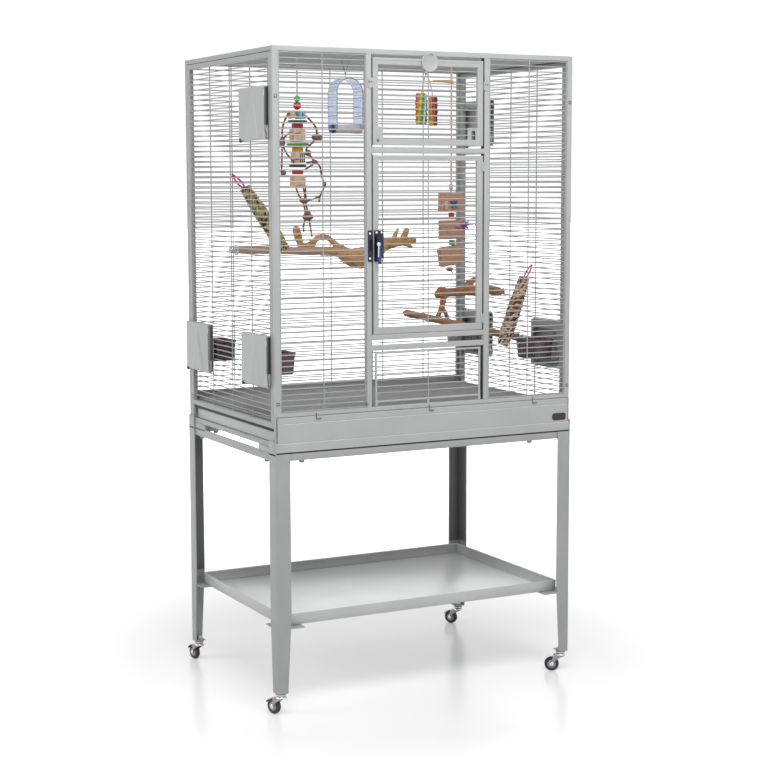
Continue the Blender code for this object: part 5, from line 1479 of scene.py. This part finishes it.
def block_toy():
    x = 0.216
    piece = Piece("block_string")
    twisted(piece, [(x, 0, HANG_Z - 0.001), (x, 0, 1.43), (x, 0, 1.31), (x, 0, 1.216)], 0.0024, ROPE, 34)
    piece.add(rod((x + 0.003, -0.001, 1.4985), (x - 0.056, -0.003, 1.5000), 0.0048, 14, 0.0018), PEG)
    for z in (1.4985, 1.2360, 1.2290):
        piece.add(ball((x, 0, z), 0.0058, (1, 1, 0.75)), ROPE)
    for z, tilt, shift in ((1.1925, 0.03, 0.0), (1.1230, -0.02, 0.001), (1.0565, -0.17, -0.001)):
        place = Matrix.Translation((x + shift, 0, z)) @ Matrix.Rotation(tilt, 4, "Y")
        piece.add(moved(block((-0.0325, 0.0325), (-0.0115, 0.0115), (-0.0240, 0.0240), 0.0016, 3), place),
                  BLOCK)
    drum(piece, x + 0.001, 1.1610, 0.0076, 0.0110, BRIGHT_RED)
    drum(piece, x + 0.003, 1.0900, 0.0082, 0.0130, TEAL)
    piece.add(ball((x - 0.004, 0, 1.0215), 0.0078, (1.2, 1, 0.8)), NUT)
    front = -0.0140
    for u, w, material in ((-0.004, 0.0010, PURPLE), (0.006, 0.0015, PURPLE), (-0.002, -0.0105, TEAL),
                           (0.009, -0.0095, TEAL), (0.000, -0.0050, NAVY)):
        piece.add(ball((x + u, front, 1.1925 + w), 0.0048, (1.2, 0.8, 0.8)), material)
    piece.add(block((x - 0.0260, x - 0.0170), (front - 0.001, front + 0.003), (1.1740, 1.1960), 0.0016, 3),
              PINE)
    star(piece, (x + 0.034, front, 1.1330), 0.0085, PURPLE)
    twisted(piece, [(x + 0.006, front + 0.001, 1.130), (x + 0.020, front - 0.001, 1.128),
                    (x + 0.034, front, 1.133),
                    (x + 0.044, front, 1.145)], 0.0016, PURPLE_CORD, 6)
    twisted(piece, [(x - 0.002, 0, 1.020), (x + 0.004, 0, 1.012), (x + 0.007, 0, 1.0080)], 0.0018, ROPE, 3)
    piece.fix("block_toy", "toy_wood", "block_toy")


def woven_toy():
    x = 0.142
    piece = Piece("woven_pair")
    woven_roll(piece, (0.128, 0, 1.4680), (0.1285, 0, 1.3905), 0.0163, WEAVE_BRIGHT, 5, 12, 21, 0.0020, 0.22,
               (toy_girth, (2, 5, 3, 0, 4, 1)))
    woven_roll(piece, (0.163, 0, 1.4605), (0.1625, 0, 1.3865), 0.0127, WEAVE_BRIGHT, 5, 9, 34, 0.0018, -0.18,
               (toy_girth, (3, 0, 3, 1, 1, 0)))
    for end in ((0.1285, 0, 1.4660), (0.1625, 0, 1.4590)):
        twisted(piece, [(x, 0, HANG_Z - 0.024), ((x + end[0]) / 2, 0, 1.497), end], 0.0016, ROPE, 6)
    twisted(piece, [(x, 0, HANG_Z - 0.001), (x + 0.0005, 0, 1.530), (x, 0, HANG_Z - 0.024)], 0.0020, STRING,
            5)
    piece.add(ball((x, 0, HANG_Z - 0.024), 0.0046), STRING)
    piece.fix("woven_toy", "coloured_weave", "woven_toy", sharp=80)


def swing():
    """Clear plastic arch with a clear perch between navy caps, on a wire hanger."""
    low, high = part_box("swing")
    x = (low.x + high.x) / 2
    half, deep, crown = 0.0355, 0.0255, 1.4630
    arch = [Vector((x + half * math.cos(math.pi * i / 24), 0, crown + half * math.sin(math.pi * i / 24)))
            for i in range(25)]
    legs = [1.3740 + (crown - 1.3740) * i / 8 for i in range(8)]
    spine = ([Vector((x + half, 0, z)) for z in legs] + arch
             + [Vector((x - half, 0, z)) for z in legs[::-1]])
    piece = Piece("swing_arch")
    rows = []
    for i, point in enumerate(spine):
        before, after = spine[max(i - 1, 0)], spine[min(i + 1, len(spine) - 1)]
        across = (after - before).normalized().cross(Vector((0, 1, 0)))
        rows.append([point + across * u + Vector((0, v, 0)) for u, v in
                     ((-0.0009, -deep), (0.0009, -deep), (0.0009, deep), (-0.0009, deep))])
    piece.add(loft(rows), CLEAR_BLUE)
    for side in (-deep, deep):
        piece.add(tube([p + Vector((0, side, 0)) for p in spine], 0.0010, 8), RIM_BLUE)
    for point in spine[1:-1:2]:
        before, after = point + Vector((0, -deep, 0)), point + Vector((0, deep, 0))
        piece.add(rod(before, after, 0.0008, 6), RUNG_BLUE)
    perch_z = 1.3755
    piece.add(rod((x - half + 0.001, 0, perch_z), (x + half + 0.004, 0, perch_z), 0.0096, 28, 0.0116),
              CLEAR_PINK)
    for step in (0.0, 0.006):
        start = x - half + 0.0040 - step
        piece.add(rod((start, 0, perch_z), (start - 0.0050, 0, perch_z), 0.0112 - step * 0.3, 24), NAVY)
    piece.add(rod((x + half + 0.0040, 0, perch_z), (x + half + 0.0072, 0, perch_z), 0.0104, 24), CLEAR_PINK)
    for way in (-1, 1):
        hanger = [(x, 0, crown + half - 0.0010), (x + way * 0.0005, 0, crown + half + 0.012),
                  (x + way * 0.0080, 0, HANG_Z - 0.010), (x + way * 0.0100, 0, HANG_Z - 0.0006)]
        piece.add(tube(smooth_path(hanger, 5), 0.0010, 8), ZINC_DARK)
    piece.fix("swing", "blue_plastic", "swing")


# ---------------------------------------------------------------- studio
AMBIENT = 0.36           # light that the white cove casts on the cage
FLOOR_GLOW = 0.22        # the floor's own light below the cage
FLOOR_BOUNCE = 0.05      # share of that light which reaches the cage
# name, place, target, size in metres and watts of each area lamp
LAMPS = (("key", (-0.5, -1.9, 2.9), (0, -0.1, 1.0), (2.0, 1.2), 57),
         ("side", (-3.6, 0.5, 2.2), (0, 0, 0.8), (1.8, 1.8), 34),
         ("fill", (2.8, -3.4, 2.0), (0, 0, 0.7), (1.8, 1.8), 10))


def studio():
    """White cove: pure white behind, soft top light, a bright floor that fades into the white."""
    scene = bpy.context.scene
    scene.view_settings.view_transform = "Standard"
    world = bpy.data.worlds.new("studio")
    scene.world = world
    world.use_nodes = True
    tree = world.node_tree
    seen = tree.nodes["Background"]
    seen.inputs["Color"].default_value = (1.0, 1.0, 1.0, 1.0)
    seen.inputs["Strength"].default_value = 1.05
    cast = tree.nodes.new("ShaderNodeBackground")
    cast.inputs["Strength"].default_value = AMBIENT
    height = tree.nodes.new("ShaderNodeSeparateXYZ")
    tree.links.new(tree.nodes.new("ShaderNodeTexCoord").outputs["Generated"], height.inputs["Vector"])
    tone = tree.nodes.new("ShaderNodeValToRGB")
    tone.color_ramp.elements[0].position = 0.0
    tone.color_ramp.elements[0].color = (0.62, 0.62, 0.62, 1.0)
    tone.color_ramp.elements[1].position = 0.9
    tone.color_ramp.elements[1].color = (1.25, 1.25, 1.25, 1.0)
    tree.links.new(height.outputs["Z"], tone.inputs["Fac"])
    tree.links.new(tone.outputs["Color"], cast.inputs["Color"])
    choose = tree.nodes.new("ShaderNodeMixShader")
    tree.links.new(tree.nodes.new("ShaderNodeLightPath").outputs["Is Diffuse Ray"], choose.inputs["Fac"])
    tree.links.new(seen.outputs["Background"], choose.inputs[1])
    tree.links.new(cast.outputs["Background"], choose.inputs[2])
    tree.links.new(choose.outputs["Shader"], tree.nodes["World Output"].inputs["Surface"])

    reach = 40.0
    ground = bpy.data.meshes.new("studio_floor")
    ground.from_pydata([(-reach, -reach, 0), (reach, -reach, 0), (reach, reach, 0), (-reach, reach, 0)], [],
                       [(0, 1, 2, 3)])
    made = Nodes("studio_white", (0.80, 0.80, 0.80), 0.22)
    made.gloss(made.noise(3.0), 0.18, 0.26)
    length = made.node("ShaderNodeVectorMath", operation="LENGTH")
    made.link(made.coordinates(), length.inputs[0])
    glow = made.node("ShaderNodeMapRange")
    for socket, value in (("From Min", 0.6), ("From Max", 2.6), ("To Min", FLOOR_GLOW), ("To Max", 1.0)):
        glow.inputs[socket].default_value = value
    made.link(length.outputs["Value"], glow.inputs["Value"])
    made.shader.inputs["Emission Color"].default_value = (1.0, 1.0, 1.0, 1.0)
    shown = made.node("ShaderNodeMath", operation="MULTIPLY")
    bounced = made.node("ShaderNodeMapRange")
    bounced.inputs["To Min"].default_value = 1.0
    bounced.inputs["To Max"].default_value = FLOOR_BOUNCE
    made.link(made.node("ShaderNodeLightPath").outputs["Is Diffuse Ray"], bounced.inputs["Value"])
    made.link(glow.outputs["Result"], shown.inputs[0])
    made.link(bounced.outputs["Result"], shown.inputs[1])
    made.link(shown.outputs["Value"], made.shader.inputs["Emission Strength"])
    ground.materials.append(made.material)
    floor = bpy.data.objects.new("studio_floor", ground)
    scene.collection.objects.link(floor)

    for name, place, target, size, power in LAMPS:
        light = bpy.data.lights.new(name, "AREA")
        light.shape = "RECTANGLE"
        light.size, light.size_y = size
        light.energy = power
        lamp = bpy.data.objects.new(name, light)
        lamp.location = place
        lamp.rotation_euler = (Vector(target) - Vector(place)).to_track_quat("-Z", "Y").to_euler()
        scene.collection.objects.link(lamp)


def camera():
    """Camera at the photograph's angle: yaw from +Y towards +X, pitch below the horizon."""
    yaw, pitch, roll = math.radians(27.54), math.radians(6.74), math.radians(-0.13)
    ahead = Vector((math.sin(yaw) * math.cos(pitch), math.cos(yaw) * math.cos(pitch), -math.sin(pitch)))
    right = Vector((math.cos(yaw), -math.sin(yaw), 0))
    up = right.cross(ahead)
    tilted_right = right * math.cos(roll) + up * math.sin(roll)
    tilted_up = up * math.cos(roll) - right * math.sin(roll)
    place = Matrix((tilted_right, tilted_up, -ahead)).transposed().to_4x4()
    place.translation = Vector((-1.961, -3.791, 1.243))
    lens = bpy.data.cameras.new("camera")
    lens.sensor_width = 36.0
    lens.lens = 79.5
    lens.clip_end = 200.0
    eye = bpy.data.objects.new("camera", lens)
    eye.matrix_world = place
    bpy.context.scene.collection.objects.link(eye)
    bpy.context.scene.camera = eye


def main():
    for corner, (sx, sy, _) in CORNERS.items():
        leg(corner, sx, sy)
    stand_rails()
    shelf()
    casters()
    base()
    tray()
    grate()
    side_wall("left")
    side_wall("right")
    back_wall()
    roof()
    front_wall()
    doors()
    latches()
    hoods()
    cups()
    wall_perch("left", "dowel_perch_left", (-0.147, -0.007, 1.076))
    wall_perch("right", "dowel_perch_right", (0.075, 0.000, 0.915))
    branches()
    seed_sticks()
    bead_toy()
    block_toy()
    woven_toy()
    swing()
    studio()
    camera()


main()
